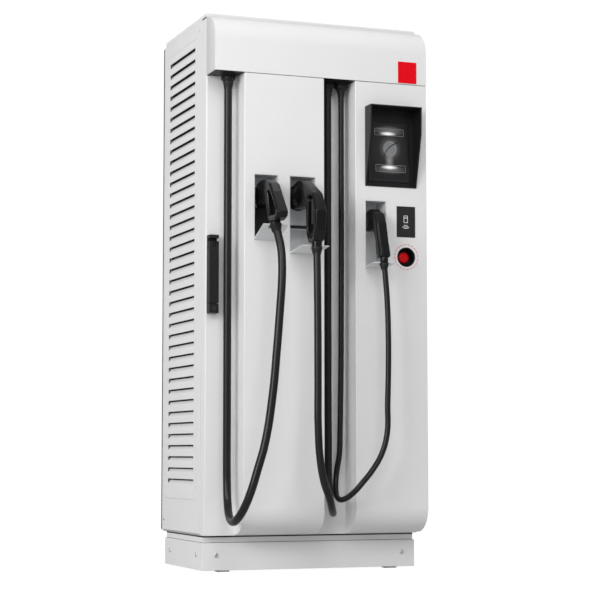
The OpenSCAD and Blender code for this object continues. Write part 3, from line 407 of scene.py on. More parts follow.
band_x, band_y = 0.3950, 0.2222
band_low, band_high = 0.1011, 0.1248
strip_depth = 0.006
corner_gap = 0.0001
# The two black rows are painted shadow lines: one under the body, one at the foot of the band.
joint_strips = [
    ("band", 0.0, band_low, band_high, powder_coat, "white_powder_coat"),
    ("shade_line", 0.0005, band_high - 0.0050, band_high - 0.0002, soft_rubber, "gasket_rubber"),
    ("joint", 0.0005, band_low, band_low + 0.0012, soft_rubber, "gasket_rubber"),
]
for name, proud, z0, z1, material, slot in joint_strips:
    x, y = band_x + proud, band_y + proud
    for side, end in ((-1, "front"), (1, "rear")):
        near, far = sorted((side * y, side * (y - strip_depth)))
        panel(end + "_plinth_" + name, (-x, near, z0), (x, far, z1), material, "cabinet")
    y -= strip_depth + corner_gap
    for side, end in ((-1, "left"), (1, "right")):
        near, far = sorted((side * x, side * (x - strip_depth)))
        panel(end + "_plinth_" + name, (near, -y, z0), (far, y, z1), material, "cabinet")


# Case screws: zinc-plated steel button-head screws with hexagon sockets, two in each face of the
# plinth and two on each side of the body.


def cut(piece, tool):
    """Takes the tool's shape out of the piece and throws the tool away."""
    pick(piece)
    hole = piece.modifiers.new("hole", "BOOLEAN")
    hole.object = tool
    hole.solver = "EXACT"
    bpy.ops.object.modifier_apply(modifier="hole")
    bpy.data.objects.remove(tool)
    return piece


def screw(radius, height, place, tilt):
    """One button-head screw with its hexagon socket."""
    dome = [
        (0, radius), (0.3 * height, radius), (0.7 * height, 0.9 * radius), (0.9 * height, 0.72 * radius),
        (height, 0.5 * radius),
    ]
    head = turned("screw", dome)
    socket = turned("socket", [(0.35 * height, 0.42 * radius), (2 * height, 0.42 * radius)], 6)
    return put(cut(head, socket), place, tilt)


side_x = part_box("left_side_frame")[0].x
skirt_low, skirt_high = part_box("plinth_skirts")
plinth_x, plinth_y, plinth_z = 0.350, 0.1595, 0.058
big = (0.008, 0.004)
small = (0.005, 0.0025)
screws = []
for side in (-1, 1):
    screws.append(screw(*big, (side * plinth_x, skirt_low.y, plinth_z), (90, 0, 0)))
    screws.append(screw(*big, (side * plinth_x, skirt_high.y, plinth_z), (-90, 0, 0)))
    for y in (-plinth_y, plinth_y):
        screws.append(screw(*big, (-side * side_x, y, plinth_z), (0, side * 90, 0)))
    for y, z in ((-0.1785, 1.909), (0.2415, 0.168)):
        screws.append(screw(*small, (-side * side_x, y, z), (0, side * 90, 0)))
case_screws = ready(joined("case_screws", screws), zinc_plate, "cabinet")
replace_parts(case_screws, "case_bolts")


# Body: a welded frame of square tube on a zinc-plated base plate, closed at the sides by
# powder-coated sheet frames with louvred panels, and on top by a shallow cap. A thin black strip
# along the top of each louvre slot paints the shade in the gap above its blade.
gasket_rubber = surface("gasket_rubber", (0.010, 0.010, 0.010), 0.85, 1600, 0.0004, 0.15)
dress("base_plate", zinc_plate)
dress("gland_plate", zinc_plate)
dress("corner_posts", powder_coat)
dress("roof_rails", powder_coat)
slot_shade_x = (0.3880, 0.3905)
slot_shade_y = (-0.1190, 0.1970)
slot_shade_z = (0.3130, 0.3162)
louvre_pitch = 0.0406
louvre_count = 39
for side, hand in ((-1, "left"), (1, "right")):
    formed(hand + "_side_frame", powder_coat, 0.0009)
    formed(hand + "_louvre_panel", powder_coat, 0.0002, 2)
    # Black strips in a row, one per slot: painted shade above each louvre blade.
    near, far = sorted(side * x for x in slot_shade_x)
    slot_shades = panel(
        hand + "_blade_lips", (near, slot_shade_y[0], slot_shade_z[0]), (far, slot_shade_y[1], slot_shade_z[1]),
        gasket_rubber, "cabinet",
    )
    row = slot_shades.modifiers.new("row", "ARRAY")
    row.count = louvre_count
    row.use_relative_offset = False
    row.use_constant_offset = True
    row.constant_offset_displace = (0, 0, louvre_pitch)
    bpy.ops.object.modifier_apply(modifier="row")
formed("roof_cap", powder_coat, 0.0009)

filter_fleece = surface("filter_fleece", (0.02, 0.02, 0.021), 0.95, 1100, 0.002, 0.3)
dress("filter_mats", filter_fleece)


# Power gear: six plug-in power modules with cases of natural aluminium. Each slides into its
# place in a rack of folded zinc-plated sheet.
module_aluminium = surface("module_aluminium", (0.7, 0.71, 0.73), 0.38, 500, 0.00004, 0.05, 0.9, (6, 1, 1))
dress("module_rack", zinc_plate)
formed("power_modules", module_aluminium, 0.001, 2)


# Control gear: a zinc-plated mounting plate with contactors, breakers on top-hat rail, a control
# unit and the mains isolator with its red knob.
breaker_plastic = surface("breaker_plastic", (0.55, 0.57, 0.57), 0.5, 1200, 0.00008)
red_plastic = surface("red_plastic", (0.70, 0.0, 0.004), 0.36, 1400, 0.00004, 0.04, shine=0.2)
dress("mounting_plate", zinc_plate)
dress("din_rails", zinc_plate)
formed("contactors", black_polyamide, 0.0015, 2)
formed("circuit_breakers", breaker_plastic, 0.0008, 2)
formed("control_unit", black_polyamide, 0.002, 2)
formed("isolator_body", black_polyamide, 0.002, 2)
formed("isolator_knob", red_plastic, 0.0015, 2)


# Exhaust fans: two axial fans behind the right-hand louvres. The housings and the rotors, with
# seven blades each, are moulded in black polyamide.
dress("fan_housings", black_polyamide)
dress("upper_fan_rotor", black_polyamide)
dress("lower_fan_rotor", black_polyamide)


# Doors: the front door's leaf and the rear door, folded from powder-coated sheet. Each closes on a
# foam rubber gasket and hangs on zinc-plated hinges with lift-off pins, and two turn locks hold
# the rear door.
dress("door_gaskets", gasket_rubber)
dress("fixed_hinge_leaves", zinc_plate)
dress("hinge_pins", zinc_plate)
dress("door_hinge_leaves", zinc_plate)

door_low, door_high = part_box("door_leaf")


def upright_at(x, y, reach=0.0004):
    """A test for edges that run straight up near a given x and y."""
    def test(a, b):
        near = all(abs(p.x - x) < reach and abs(p.y - y) < reach for p in (a, b))
        return near and abs(a.z - b.z) > 0.05
    return test


fold_radius = 0.005
formed(
    "door_leaf", powder_coat, 0.0009,
    rounds=[(upright_at(x, door_low.y), fold_radius) for x in (door_low.x, door_high.x)],
)
formed("rear_door", powder_coat, 0.0009)
rear_low, rear_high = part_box("rear_door")
# A thin black strip along the rear door's back edge paints the shade at that corner.
rear_shade_y = (0.2690, 0.2788)
panel(
    "rear_edge_shade",
    (rear_low.x - 0.0005, rear_shade_y[0], rear_low.z + 0.004),
    (rear_low.x + 0.0005, rear_shade_y[1], rear_high.z - 0.004),
    gasket_rubber, "service_door",
)
rear_lock_x = -0.365
for name, z in (("upper_rear_lock", 1.45), ("lower_rear_lock", 0.60)):
    lock = turned(
        name,
        [
            (0, 0.0135), (0.0015, 0.0135), (0.0025, 0.0125), (0.0025, 0.0095), (0.0015, 0.009),
            (0.0015, 0.0045),
        ],
    )
    key_hole = turned("key_hole", [(-0.001, 0.0052), (0.004, 0.0052)], 3)
    put(cut(lock, key_hole), (rear_lock_x, rear_high.y, z), (-90, 0, 0))
    ready(lock, zinc_plate, "service_door")


# Front covers and fascia: folded and powder-coated sheet, with the lower ends of the covers and
# the top of the fascia rolled to a wide radius.
cover_fold = 0.003
for node in ("left_cover", "right_cover"):
    low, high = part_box(node)
    formed(
        node, powder_coat, 0.0011,
        rounds=[(upright_at(x, low.y), cover_fold) for x in (low.x, high.x)],
    )
formed("fascia", powder_coat, 0.0011)


# Badge: a plain plate of sheet metal with a red enamelled face. It is glued to the fascia near
# its right end.
red_enamel = surface("red_enamel", (0.74, 0.0, 0.008), 0.4, 900, 0.00002, 0.03, shine=0.12)
formed("badge", red_enamel, 0.0006)


# Holsters: folded satin stainless pockets with sockets for the plugs and tongues for the cables,
# screwed behind the covers. Black nylon collars keep the plugs off the metal. Black plates under the
# top of each pocket, at the back of the CCS pocket and along the CHAdeMO ledge paint the shade
# inside the pockets.
holster_steel = surface("holster_steel", (0.72, 0.73, 0.74), 0.42, 240, 0.00005, 0.05, 0.25, (1, 1, 8))
for node in ("ccs_holster", "chademo_holster", "type2_holster"):
    formed(node, holster_steel, 0.0008)

pockets = (("ccs", -0.257, -0.167, 1.379), ("chademo", -0.126, -0.027, 1.379), ("type2", 0.160, 0.243, 1.307))
pocket_front, pocket_back = -0.3500, -0.2655
side_gap = 0.0005
# Painted shade: a black plate under the top of each pocket.
for name, x0, x1, top in pockets:
    panel(
        name + "_pocket_top_shade",
        (x0 + side_gap, pocket_front, top - 0.0014), (x1 - side_gap, pocket_back - 0.002, top - 0.0002),
        black_polyamide,
    )
# Painted shade: a black plate at the back of the CCS pocket.
panel(
    "ccs_pocket_back_shade", (-0.2565, pocket_back - 0.0015, 1.1500), (-0.1675, pocket_back - 0.0003, 1.2900),
    black_polyamide,
)
# Painted shadow: a black strip under the lower edge of the CHAdeMO holder plate.
panel(
    "chademo_ledge_shadow", (-0.1255, -0.3233, 1.1963), (-0.0275, -0.3224, 1.2077),
    black_polyamide,
)
ccs_x, chademo_x = -0.212, -0.0765
dc_nose_z = 1.308
socket_face = -0.3022
for name, x, radius in (("ccs_collar", ccs_x, 0.036), ("chademo_collar", chademo_x, 0.046)):
    collar = turned(name, [(0, radius), (0.002, radius), (0.003, radius - 0.001)], 64)
    put(collar, (x, socket_face, dc_nose_z), (90, 0, 0))
    ready(collar, black_polyamide, "front_door")


# Connectors: glass-filled nylon shells that hang with their noses in the sockets. The CCS one is a
# faceted loop, the CHAdeMO one a barrel with a D-grip and a trigger, and the Type 2 one an arched
# handle. Ribbed rubber boots hold the cables.


def rounded(outline, radius, steps=6):
    """An outline with its corners rounded by radius, or by what its sides allow."""
    points = []
    for i, here in enumerate(outline):
        here = Vector(here)
        back = Vector(outline[i - 1]) - here
        ahead = Vector(outline[(i + 1) % len(outline)]) - here
        half = back.angle(ahead) / 2
        reach = min(radius / math.tan(half), 0.46 * back.length, 0.46 * ahead.length)
        centre = here + (back.normalized() + ahead.normalized()).normalized() * reach / math.cos(half)
        first = here + back.normalized() * reach - centre
        last = here + ahead.normalized() * reach - centre
        for k in range(steps + 1):
            arm = first.slerp(last, k / steps)
            points.append(tuple(centre + arm * first.length))
    return points


def slab(name, outlines, thick, edge, place=(0, 0, 0), tilt=(0, 0, 0), steps=0, arris=0):
    """A flat solid from an outline and its holes, drawn in XY with its middle at z 0. Its rims are
    bevelled by edge, and the arrises that leaves by arris."""
    bpy.ops.object.select_all(action="DESELECT")
    bpy.ops.curve.primitive_bezier_circle_add()
    piece = bpy.context.object
    piece.name = name
    piece.data.dimensions = "2D"
    piece.data.fill_mode = "BOTH"
    piece.data.splines.clear()
    for outline in outlines:
        spline = piece.data.splines.new("POLY")
        spline.use_cyclic_u = True
        spline.points.add(len(outline) - 1)
        for knot, (u, v) in zip(spline.points, outline):
            knot.co = (u, v, 0, 1)
    piece.data.extrude = thick / 2 - edge
    piece.data.bevel_depth = edge
    piece.data.offset = -edge
    piece.data.bevel_resolution = steps
    bpy.ops.object.convert(target="MESH")
    bpy.ops.object.mode_set(mode="EDIT")
    bpy.ops.mesh.select_all(action="SELECT")
    bpy.ops.mesh.remove_doubles(threshold=0.000005)
    bpy.ops.mesh.dissolve_limited(angle_limit=math.radians(0.5))
    bpy.ops.mesh.select_all(action="SELECT")
    bpy.ops.mesh.normals_make_consistent(inside=False)
    bpy.ops.object.mode_set(mode="OBJECT")
    if arris:
        rim = piece.modifiers.new("rim", "BEVEL")
        rim.width = arris
        rim.segments = 2
        rim.limit_method = "ANGLE"
        rim.angle_limit = math.radians(32)
        rim.loop_slide = False
        bpy.ops.object.modifier_apply(modifier="rim")
    bpy.ops.object.shade_smooth_by_angle(angle=math.radians(30))
    return put(piece, place, tilt)


def millimetres(*points):
    """Points in metres from points in millimetres. A connector's points are (distance in front of
    the covers, height)."""
    return [(u / 1000, v / 1000) for u, v in points]


connector_plastic = surface(
    "connector_plastic", (0.005, 0.005, 0.0055), 0.24, 1100, 0.00008, 0.12, shine=0.24
)
grip_rubber = surface("grip_rubber", (0.035, 0.035, 0.037), 0.5, 900, 0.0002, 0.1, shine=0.4)
cover_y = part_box("left_cover")[0].y
side_on = (90, 0, -90)


def rod(name, points, radius, closed=False):
    """A thin round rod, or a ring if it is closed, through the points."""
    piece = smooth_line(name, points)
    piece.data.splines[0].use_cyclic_u = closed
    piece.data.bevel_depth = radius
    piece.data.bevel_resolution = 4
    piece.data.use_fill_caps = not closed
    bpy.ops.object.convert(target="MESH")
    bpy.ops.object.shade_smooth_by_angle(angle=math.radians(35))
    return piece


nose_back, nose_front = 0.2715, 0.3068


def nose(name, radius, x, z):
    """The round nose of a connector, with a chamfered mouth and a seam groove."""
    length = nose_front - nose_back
    seam = 0.45 * length
    solid = turned(
        name,
        [
            (0, radius - 0.002), (0.002, radius), (seam, radius), (seam + 0.001, radius - 0.001),
            (seam + 0.002, radius - 0.001), (seam + 0.003, radius), (length, radius),
        ],
        64,
    )
    return put(solid, (x, -nose_back, z), (90, 0, 0))


# CCS connector: two glass-filled nylon half shells, screwed together, with two chamfered bars that
# meet at the top and at the boot. A rubber pad is moulded on the upper bar, and a latch lies on top.
ccs_shell = millimetres(
    (-49.7, 1264), (-49.7, 1350), (-8, 1358), (47, 1352), (87, 1334), (174, 1226), (164, 1208),
    (140, 1200), (74, 1200), (44, 1264),
)
ccs_gap = millimetres((58, 1308), (82, 1224), (146, 1222), (152, 1234), (85, 1307))
ccs_body = slab(
    "ccs_body", [rounded(ccs_shell, 0.006, 3), rounded(ccs_gap, 0.004, 3)], 0.040,
    0.005, (ccs_x, cover_y, 0), side_on, 0, 0.0008,
)
ccs_nose = nose("ccs_nose", 0.028, ccs_x, dc_nose_z)
ccs_exit = turned("ccs_exit", [(-0.004, 0.0165), (0, 0.018), (0.018, 0.018), (0.020, 0.016)])
put(ccs_exit, ccs_route[-1], (-25, 0, 0))
ccs_latch = slab(
    "ccs_latch", [rounded(millimetres((6, 1350), (8, 1357.6), (38, 1355), (44, 1346)), 0.002)], 0.018,
    0.0012, (ccs_x, cover_y, 0), side_on, 1,
)
ccs_plug = joined("ccs_plug", [ccs_body, ccs_nose, ccs_exit, ccs_latch])
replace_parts(ready(ccs_plug, connector_plastic, "front_door"), "ccs_connector")

ccs_pad_shape = millimetres(
    (49, 1351), (87.5, 1334.6), (113, 1303), (108.5, 1299), (83.5, 1329), (47, 1345)
)
ccs_pad = slab(
    "ccs_pad", [rounded(ccs_pad_shape, 0.0015, 3)], 0.024, 0.0006, (ccs_x, cover_y, 0), side_on, 1
)
ready(ccs_pad, grip_rubber, "front_door")


# CHAdeMO connector: a stepped barrel, a D-grip with rounded bars and a boss for the cable, moulded
# as two nylon half shells. Its trigger is a grey blade with a pivot pin, inside the grip.
chademo_shell = millimetres(
    (-49.7, 1264), (-49.7, 1352), (-8, 1362), (47, 1354), (92, 1330), (147, 1300), (184, 1236),
    (174, 1165), (160, 1132), (104, 1128), (88, 1160), (80, 1264),
)
chademo_gap = millimetres(
    (100, 1292), (95, 1200), (96, 1166), (112, 1148), (144, 1148), (156, 1180), (164, 1236), (142, 1280),
    (124, 1295),
)
chademo_body = slab(
    "chademo_body", [rounded(chademo_shell, 0.016, 6), rounded(chademo_gap, 0.009, 6)], 0.040,
    0.007, (chademo_x, cover_y, 0), side_on, 3,
)
chademo_barrel = turned(
    "chademo_barrel",
    [
        (0, 0.034), (0.003, 0.038), (0.026, 0.038), (0.027, 0.0365), (0.030, 0.0365), (0.031, 0.038),
        (0.055, 0.038), (0.060, 0.034),
    ],
    64,
)
put(chademo_barrel, (chademo_x, -0.3028, dc_nose_z), (90, 0, 0))
chademo_exit = turned(
    "chademo_exit",
    [
        (0, 0.018), (0.006, 0.018), (0.007, 0.017), (0.009, 0.017), (0.010, 0.018), (0.020, 0.018),
        (0.024, 0.015),
    ],
)
put(chademo_exit, chademo_route[-1])
chademo_plug = joined("chademo_plug", [chademo_body, chademo_barrel, chademo_exit])
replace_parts(ready(chademo_plug, connector_plastic, "front_door"), "chademo_connector")

chademo_pad_shape = millimetres(
    (30, 1357.5), (47, 1355), (92, 1331), (120, 1315.5), (117, 1310), (90, 1325), (46, 1349), (30, 1352)
)
chademo_pad = slab(
    "chademo_pad", [rounded(chademo_pad_shape, 0.0015, 3)], 0.022, 0.0006,
    (chademo_x, cover_y, 0), side_on, 1,
)
ready(chademo_pad, grip_rubber, "front_door")

trigger_shape = millimetres(
    (103.5, 1284), (115, 1284), (115, 1240), (112, 1222), (113, 1195), (105, 1195)
)
trigger_blade = slab(
    "trigger_blade", [rounded(trigger_shape, 0.003, 5)], 0.0158, 0.0025, (chademo_x, cover_y, 0), side_on, 3
)
trigger_pin = turned(
    "trigger_pin", [(-0.0190, 0.0040), (-0.0185, 0.0045), (0.0185, 0.0045), (0.0190, 0.0040)], 32
)
put(trigger_pin, (chademo_x, cover_y - 0.103, 1.278), (0, 90, 0))
trigger_blade = joined("trigger_blade", [trigger_blade, trigger_pin])
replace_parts(ready(trigger_blade, grip_rubber, "trigger"), "chademo_trigger")


# Type 2 connector: an arched nylon handle in two half shells, with a raised line along each side
# and ribs above the boot for the thumb.
type2_x = 0.2015
type2_shell = millimetres(
    (-49.7, 1198), (-49.7, 1262), (-40, 1274), (-8, 1276), (32, 1258), (53, 1222), (72, 1153),
    (88, 1110), (88, 1096), (60, 1090), (44, 1110), (38, 1160), (20, 1196),
)
type2_body = slab(
    "type2_body", [rounded(type2_shell, 0.014, 8)], 0.042, 0.009, (type2_x, cover_y, 0), side_on, 5
)
type2_nose = nose("type2_nose", 0.024, type2_x, 1.232)
type2_exit = turned("type2_exit", [(0, 0.0125), (0.004, 0.014), (0.020, 0.014), (0.026, 0.012)])
put(type2_exit, type2_route[-1])
type2_parts = [type2_body, type2_nose, type2_exit]
raised_line = millimetres((-30, 1262), (0, 1252), (22, 1232), (36, 1200), (46, 1160), (56, 1128))
for side in (-1, 1):
    route = [(type2_x + side * 0.0185, cover_y - d, z) for d, z in raised_line]
    type2_parts.append(rod("type2_line", route, 0.0028))
thumb_ribs = 4
rib_points = 24
rib_half_x, rib_half_y = 0.0192, 0.0205
rib_slope = 0.33
squareness = 0.6
for step in range(thumb_ribs):
    centre = Vector((type2_x, cover_y - 0.069 + 0.0024 * step, 1.107 + 0.0075 * step))
    ring = []
    for k in range(rib_points):
        turn = math.tau * k / rib_points
        across = rib_half_x * math.copysign(abs(math.cos(turn)) ** squareness, math.cos(turn))
        along = rib_half_y * math.copysign(abs(math.sin(turn)) ** squareness, math.sin(turn))
        ring.append(centre + Vector((across, -along, -rib_slope * along)))
    type2_parts.append(rod("type2_rib", ring, 0.0026, closed=True))
type2_plug = joined("type2_plug", type2_parts)
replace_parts(ready(type2_plug, connector_plastic, "front_door"), "type2_connector")


# Boots: ribbed rubber sleeves pressed on to the cables where they leave the connectors.
ccs_boot = put(sleeve("ccs_boot", ccs_diameter, 0.026), ccs_route[-1], (-22, 0, 0))
chademo_boot = put(sleeve("chademo_boot", chademo_diameter, 0.024), chademo_route[-1])
type2_boot = put(sleeve("type2_boot", type2_diameter, 0.022), type2_route[-1])
for boot in (ccs_boot, chademo_boot, type2_boot):
    ready(boot, soft_rubber, "front_door")


# Channel soffits and fascia ends: black plates under the fascia in the channels that paint the
# shade there, grey caps that close the fascia's rolled ends, and a black strip under the roof cap's
# front edge, whose end shows at the cabinet's top corner, that paints the shadow line below the cap.
soffit_y = (-0.3535, -0.2530)
soffit_t = 0.0014
# Each black plate is painted shade under the fascia in its channel.
for name, x0, x1 in (("left_soffit_shade", -0.3985, -0.2925), ("middle_soffit_shade", 0.0055, 0.1235)):
    panel(
        name, (x0, soffit_y[0], fascia_under - soffit_t), (x1, soffit_y[1], fascia_under),
        black_polyamide,
    )
roll_radius = 0.089
roll_middle, roll_z = -0.088, 1.8495
end_back, end_foot = -0.0990, 1.7350
end_shape = [(end_back, end_foot), (roll_middle + roll_radius, end_foot)]
for step in range(13):
    turn = math.radians(7.5 * step)
    end_shape.append((roll_middle + roll_radius * math.cos(turn), roll_z + roll_radius * math.sin(turn)))
end_shape.append((end_back, roll_z + roll_radius))
end_grey = surface("end_grey", (0.60, 0.60, 0.60), 0.5, 700, 0.00006, 0.012)
for name, x in (("left_fascia_end", -0.4), ("right_fascia_end", 0.4)):
    end_cap = slab(name, [end_shape], 0.0012, 0.0004, (x, cover_y, 0), side_on, 1)
    ready(end_cap, end_grey, "front_door")
# A black strip and its end paint the shadow line under the roof cap.
panel("roof_seal", (-0.3960, -0.2620, 1.9390), (0.3960, -0.2530, 1.9425), gasket_rubber)
panel("seal_end", (-0.4006, -0.2500, 1.9397), (-0.3992, -0.2060, 1.9440), gasket_rubber)


# Display: a moulded black sun hood round a recessed glass touch screen. The screen shows a plain
# charging page with a round mark and a curved stroke. Two framed bars on it, with strong glows, are
# painted reflections of lamps in the glass.
screen_glass = surface("screen_glass", (0.010, 0.0105, 0.012), 0.14, 300, 0.000005, 0.05, shine=0.4)
formed("display_hood", black_polyamide, 0.0015)
formed("display_screen", screen_glass, 0.001)


def lit(name, colour, strength):
    """A surface that shines, for the marks on the lit page."""
    material = surface(name, colour, 0.4, 900, 0.00001, 0.3)
    shader = material.node_tree.nodes["Principled BSDF"]
    shader.inputs["Emission Color"].default_value = (*colour, 1)
    shader.inputs["Emission Strength"].default_value = strength
    return material


def rectangle(x0, z0, x1, z1):
    """The corners of an upright rectangle, in metres from millimetres."""
    return [(x0 / 1000, z0 / 1000), (x1 / 1000, z0 / 1000), (x1 / 1000, z1 / 1000), (x0 / 1000, z1 / 1000)]


def oval(x, z, half_x, half_z, count=40):
    """An ellipse, in metres from millimetres."""
    turns = [math.tau * k / count for k in range(count)]
    return [((x + half_x * math.cos(t)) / 1000, (z + half_z * math.sin(t)) / 1000) for t in turns]


def glows(material, spots):
    """Soft glows on a material, as (x, z, half width, half height, strength) in millimetres."""
    nodes = material.node_tree.nodes
    links = material.node_tree.links
    place = nodes.new("ShaderNodeTexCoord")
    total = None
    for x, z, half_x, half_z, strength in spots:
        near = nodes.new("ShaderNodeMapping")
        near.vector_type = "TEXTURE"
        near.inputs["Location"].default_value = (x / 1000, glass_y, z / 1000)
        near.inputs["Scale"].default_value = (half_x / 1000, 0.1, half_z / 1000)
        links.new(place.outputs["Object"], near.inputs["Vector"])
        round_fade = nodes.new("ShaderNodeTexGradient")
        round_fade.gradient_type = "SPHERICAL"
        links.new(near.outputs["Vector"], round_fade.inputs["Vector"])
        part = nodes.new("ShaderNodeMath")
        part.operation = "MULTIPLY"
        part.inputs[1].default_value = strength
        links.new(round_fade.outputs["Fac"], part.inputs[0])
        if total:
            both = nodes.new("ShaderNodeMath")
            both.operation = "ADD"
            links.new(total.outputs["Value"], both.inputs[0])
            links.new(part.outputs["Value"], both.inputs[1])
            part = both
        total = part
    links.new(total.outputs["Value"], nodes["Principled BSDF"].inputs["Emission Color"])
    nodes["Principled BSDF"].inputs["Emission Strength"].default_value = 1
    return material


grey_light = lit("screen_grey", (0.15, 0.155, 0.16), 0.35)
facing = (90, 0, 0)
glass_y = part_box("display_screen")[0].y
# The strong spots on the two bars and the soft glows round them are painted reflections of lamps; the other
# glows are the page's own light.
page_glow_and_reflections = glows(
    surface("page_glow_and_reflections", (0.010, 0.0105, 0.012), 0.3, 300, 0.000005, 0.05, shine=0.3),
    [
        (256, 1552, 34, 8, 1.1), (260, 1562, 60, 20, 0.16), (262, 1431, 36, 8, 1.1),
        (266, 1424, 62, 18, 0.16), (262, 1452, 18, 36, 0.22), (264, 1498, 44, 48, 0.12),
        (262, 1498, 80, 110, 0.02),
    ],
)


def frame_line(x0, z0, x1, z1, corner, wide):
    """The outline of a thin frame, and its hole, from its corners and line width in millimetres.
    Its corner radius is in metres."""
    hole = rectangle(x0 + wide, z0 + wide, x1 - wide, z1 - wide)
    return [rounded(rectangle(x0, z0, x1, z1), corner), rounded(hole, corner - 0.001)]


# The two framed bars are painted reflections of lamps in the screen glass.
page = [
    ("page_ground", [rounded(rectangle(188, 1390, 332, 1588), 0.004)], page_glow_and_reflections, 1),
    ("page_top_reflection", frame_line(204, 1545, 318, 1571, 0.004, 1.5), grey_light, 2),
    ("page_low_reflection", frame_line(208, 1414, 325, 1440, 0.004, 1.5), grey_light, 2),
    ("page_disc", [oval(264, 1498, 27, 29)], grey_light, 2),
]
print_t = 0.0002
for name, outlines, light, layer in page:
    mark = slab(name, outlines, print_t, 0, (0, glass_y - 0.00012 * layer, 0), facing)
    ready(mark, light, "front_door")
curve = millimetres((238, 1466), (250, 1490), (270, 1510), (296, 1524))
vein = [(x, glass_y - 0.0005, z) for x, z in curve]
ready(rod("page_vein", vein, 0.0016), screen_glass, "front_door")


# Card reader: a glossy black plastic plate on the right cover. A card and three waves are printed
# on it in white.
reader_gloss = surface("reader_gloss", (0.016, 0.016, 0.017), 0.25, 700, 0.00002, 0.05, shine=0.35)
white_print = surface("white_print", (0.72, 0.72, 0.72), 0.55, 900, 0.00002, 0.05)
formed("card_reader", reader_gloss, 0.0006)
reader_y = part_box("card_reader")[0].y
card = frame_line(309, 1231, 325, 1257, 0.002, 2)
stripe = [rectangle(311, 1247, 323, 1250)]
prints = [
    slab("card_mark", card, print_t, 0, (0, reader_y, 0), facing),
    slab("card_stripe", stripe, print_t, 0, (0, reader_y, 0), facing),
]


def bent_bar(x, z, inner, outer, turns):
    """The outline of a bar bent round a centre, along the turns."""
    out = [(x + outer * math.cos(t), z + outer * math.sin(t)) for t in turns]
    return out + [(x + inner * math.cos(t), z + inner * math.sin(t)) for t in reversed(turns)]


sweep = [math.radians(a) for a in range(225, 320, 5)]
for radius in (0.008, 0.013, 0.018):
    wave = bent_bar(0.317, 1.229, radius - 0.001, radius + 0.001, sweep)
    prints.append(slab("wave_mark", [wave], print_t, 0, (0, reader_y, 0), facing))
ready(joined("reader_print", prints), white_print, "front_door")


# Emergency stop: a moulded red mushroom head on a steel stem, deep in a black nylon well in the
# cover, with a thin dashed red ring printed round it.
stop_x, stop_z = 0.319, 1.108
ring_inner, ring_outer = 0.0442, 0.0458
dash_count = 20
dash_step = 360 // dash_count
dashes = []
for k in range(dash_count):
    sweep = [math.radians(dash_step * k + a) for a in range(0, 13, 2)]
    dash = bent_bar(stop_x, stop_z, ring_inner, ring_outer, sweep)
    dashes.append(slab("dash", [dash], 0.0005, 0, (0, cover_y - 0.0003, 0), facing))
dashed_ring = ready(joined("dashed_ring", dashes), red_enamel, "front_door")
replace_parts(dashed_ring, "stop_ring")
formed("stop_housing", black_polyamide, 0.0008)
dress("stop_stem", zinc_plate)
cap_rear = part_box("stop_cap")[1].y
cap = turned(
    "stop_head",
    [
        (0, 0.0125), (0.002, 0.0185), (0.004, 0.0198), (0.0075, 0.0200), (0.0100, 0.0195),
        (0.0120, 0.0180), (0.0128, 0.0160), (0.0130, 0.0130), (0.0124, 0.0122), (0.0124, 0.0040),
    ],
    64,
)
put(cap, (stop_x, cap_rear, stop_z), (90, 0, 0))
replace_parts(ready(cap, red_plastic, "stop_button"), "stop_cap")


# Swing handle: a dark moulded lever in its base, screwed to the door, with a lock at its foot. Its
# hub drives two zinc-plated rods behind the door. Base and lever are brought to one width.
handle_black = surface("handle_black", (0.009, 0.009, 0.0095), 0.42, 1300, 0.00012, 0.1, shine=0.28)
handle_x = -0.379
handle_width = 0.0336
base_width = 0.036
lever_width = 0.030


def to_width(piece, width):
    """Brings a handle part from its own width to the handle's."""
    pick(piece)
    bpy.ops.object.mode_set(mode="EDIT")
    bpy.ops.mesh.select_all(action="SELECT")
    bpy.ops.transform.resize(value=(handle_width / width, 1, 1), center_override=(handle_x, 0, 0))
    bpy.ops.object.mode_set(mode="OBJECT")


to_width(formed("handle_base", handle_black, 0.002), base_width)
formed("handle_hub", handle_black, 0.0008)
to_width(formed("handle_lever", handle_black, 0.0025), lever_width)
panel(
    "lever_groove", (-0.3804, -0.2861, 0.9495), (-0.3776, -0.2848, 1.1235), gasket_rubber,
    "swing_lever",
)
dark_chrome = surface("dark_chrome", (0.06, 0.06, 0.062), 0.3, 300, 0.00003, 0.05, 0.8)
dress("lock_cylinder", dark_chrome)
dress("upper_lock_rod", zinc_plate)
dress("lower_lock_rod", zinc_plate)


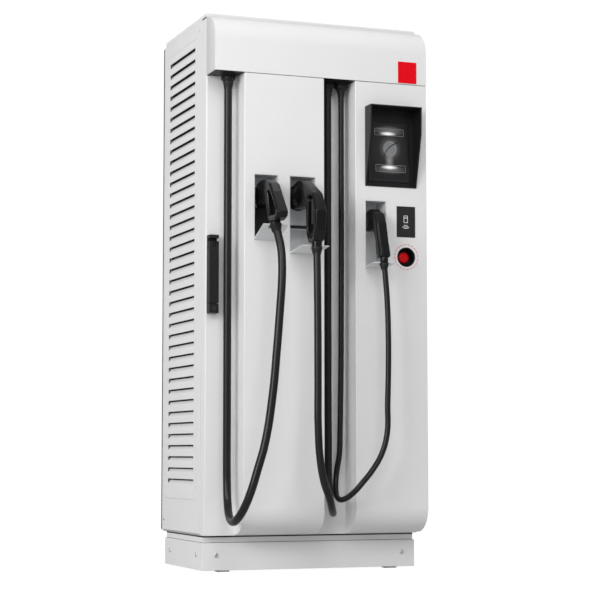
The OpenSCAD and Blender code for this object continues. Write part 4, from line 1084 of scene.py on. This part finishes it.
# Studio: a pale floor in an even white surround, with large soft lights from the left, the front
# and above.
bpy.ops.object.select_all(action="DESELECT")
bpy.ops.mesh.primitive_plane_add(size=80, location=(0, 0, 0))
floor = bpy.context.object
floor.name = "studio_floor"
pale = surface("pale_floor", (0.6, 0.6, 0.6), 0.8, 60, 0.0001, 0.01)
pale.node_tree.nodes["Principled BSDF"].inputs["Specular IOR Level"].default_value = 0.1
floor.data.materials.append(pale)
floor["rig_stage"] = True
glow = pale.node_tree.nodes.new("ShaderNodeEmission")
glow.inputs["Strength"].default_value = 1.18
seen = pale.node_tree.nodes.new("ShaderNodeLightPath")
share = pale.node_tree.nodes.new("ShaderNodeMath")
share.operation = "MULTIPLY"
share.inputs[1].default_value = 0.82
blend = pale.node_tree.nodes.new("ShaderNodeMixShader")
link = pale.node_tree.links.new
link(seen.outputs["Is Camera Ray"], share.inputs[0])
link(share.outputs["Value"], blend.inputs["Fac"])
link(pale.node_tree.nodes["Principled BSDF"].outputs["BSDF"], blend.inputs[1])
link(glow.outputs["Emission"], blend.inputs[2])
link(blend.outputs["Shader"], pale.node_tree.nodes["Material Output"].inputs["Surface"])

world = bpy.data.worlds.new("surround")
world.use_nodes = True
air = world.node_tree.nodes["Background"]
air.inputs["Color"].default_value = (1, 1, 1, 1)
direct = world.node_tree.nodes.new("ShaderNodeLightPath")
level = world.node_tree.nodes.new("ShaderNodeMapRange")
level.inputs["To Min"].default_value = 0.46
level.inputs["To Max"].default_value = 1.02
world.node_tree.links.new(direct.outputs["Is Camera Ray"], level.inputs["Value"])
world.node_tree.links.new(level.outputs["Result"], air.inputs["Strength"])
bpy.context.scene.world = world
bpy.context.scene.view_settings.view_transform = "Standard"

softbox_side = 3.0


def softbox(name, place, aim, power):
    """A large square area light that points at a place."""
    bpy.ops.object.light_add(type="AREA", location=place)
    light = bpy.context.object
    light.name = name
    light.data.size = softbox_side
    light.data.energy = power
    light.rotation_euler = (Vector(place) - Vector(aim)).to_track_quat("Z", "Y").to_euler()


softbox("side_light", (-5.0, -3.2, 2.6), (0, 0, 1.1), 215)
softbox("front_light", (-1.0, -5.5, 4.6), (0, 0, 1.6), 125)
softbox("top_light", (0.5, -0.6, 5.0), (0, 0, 1.0), 20)

low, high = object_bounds()
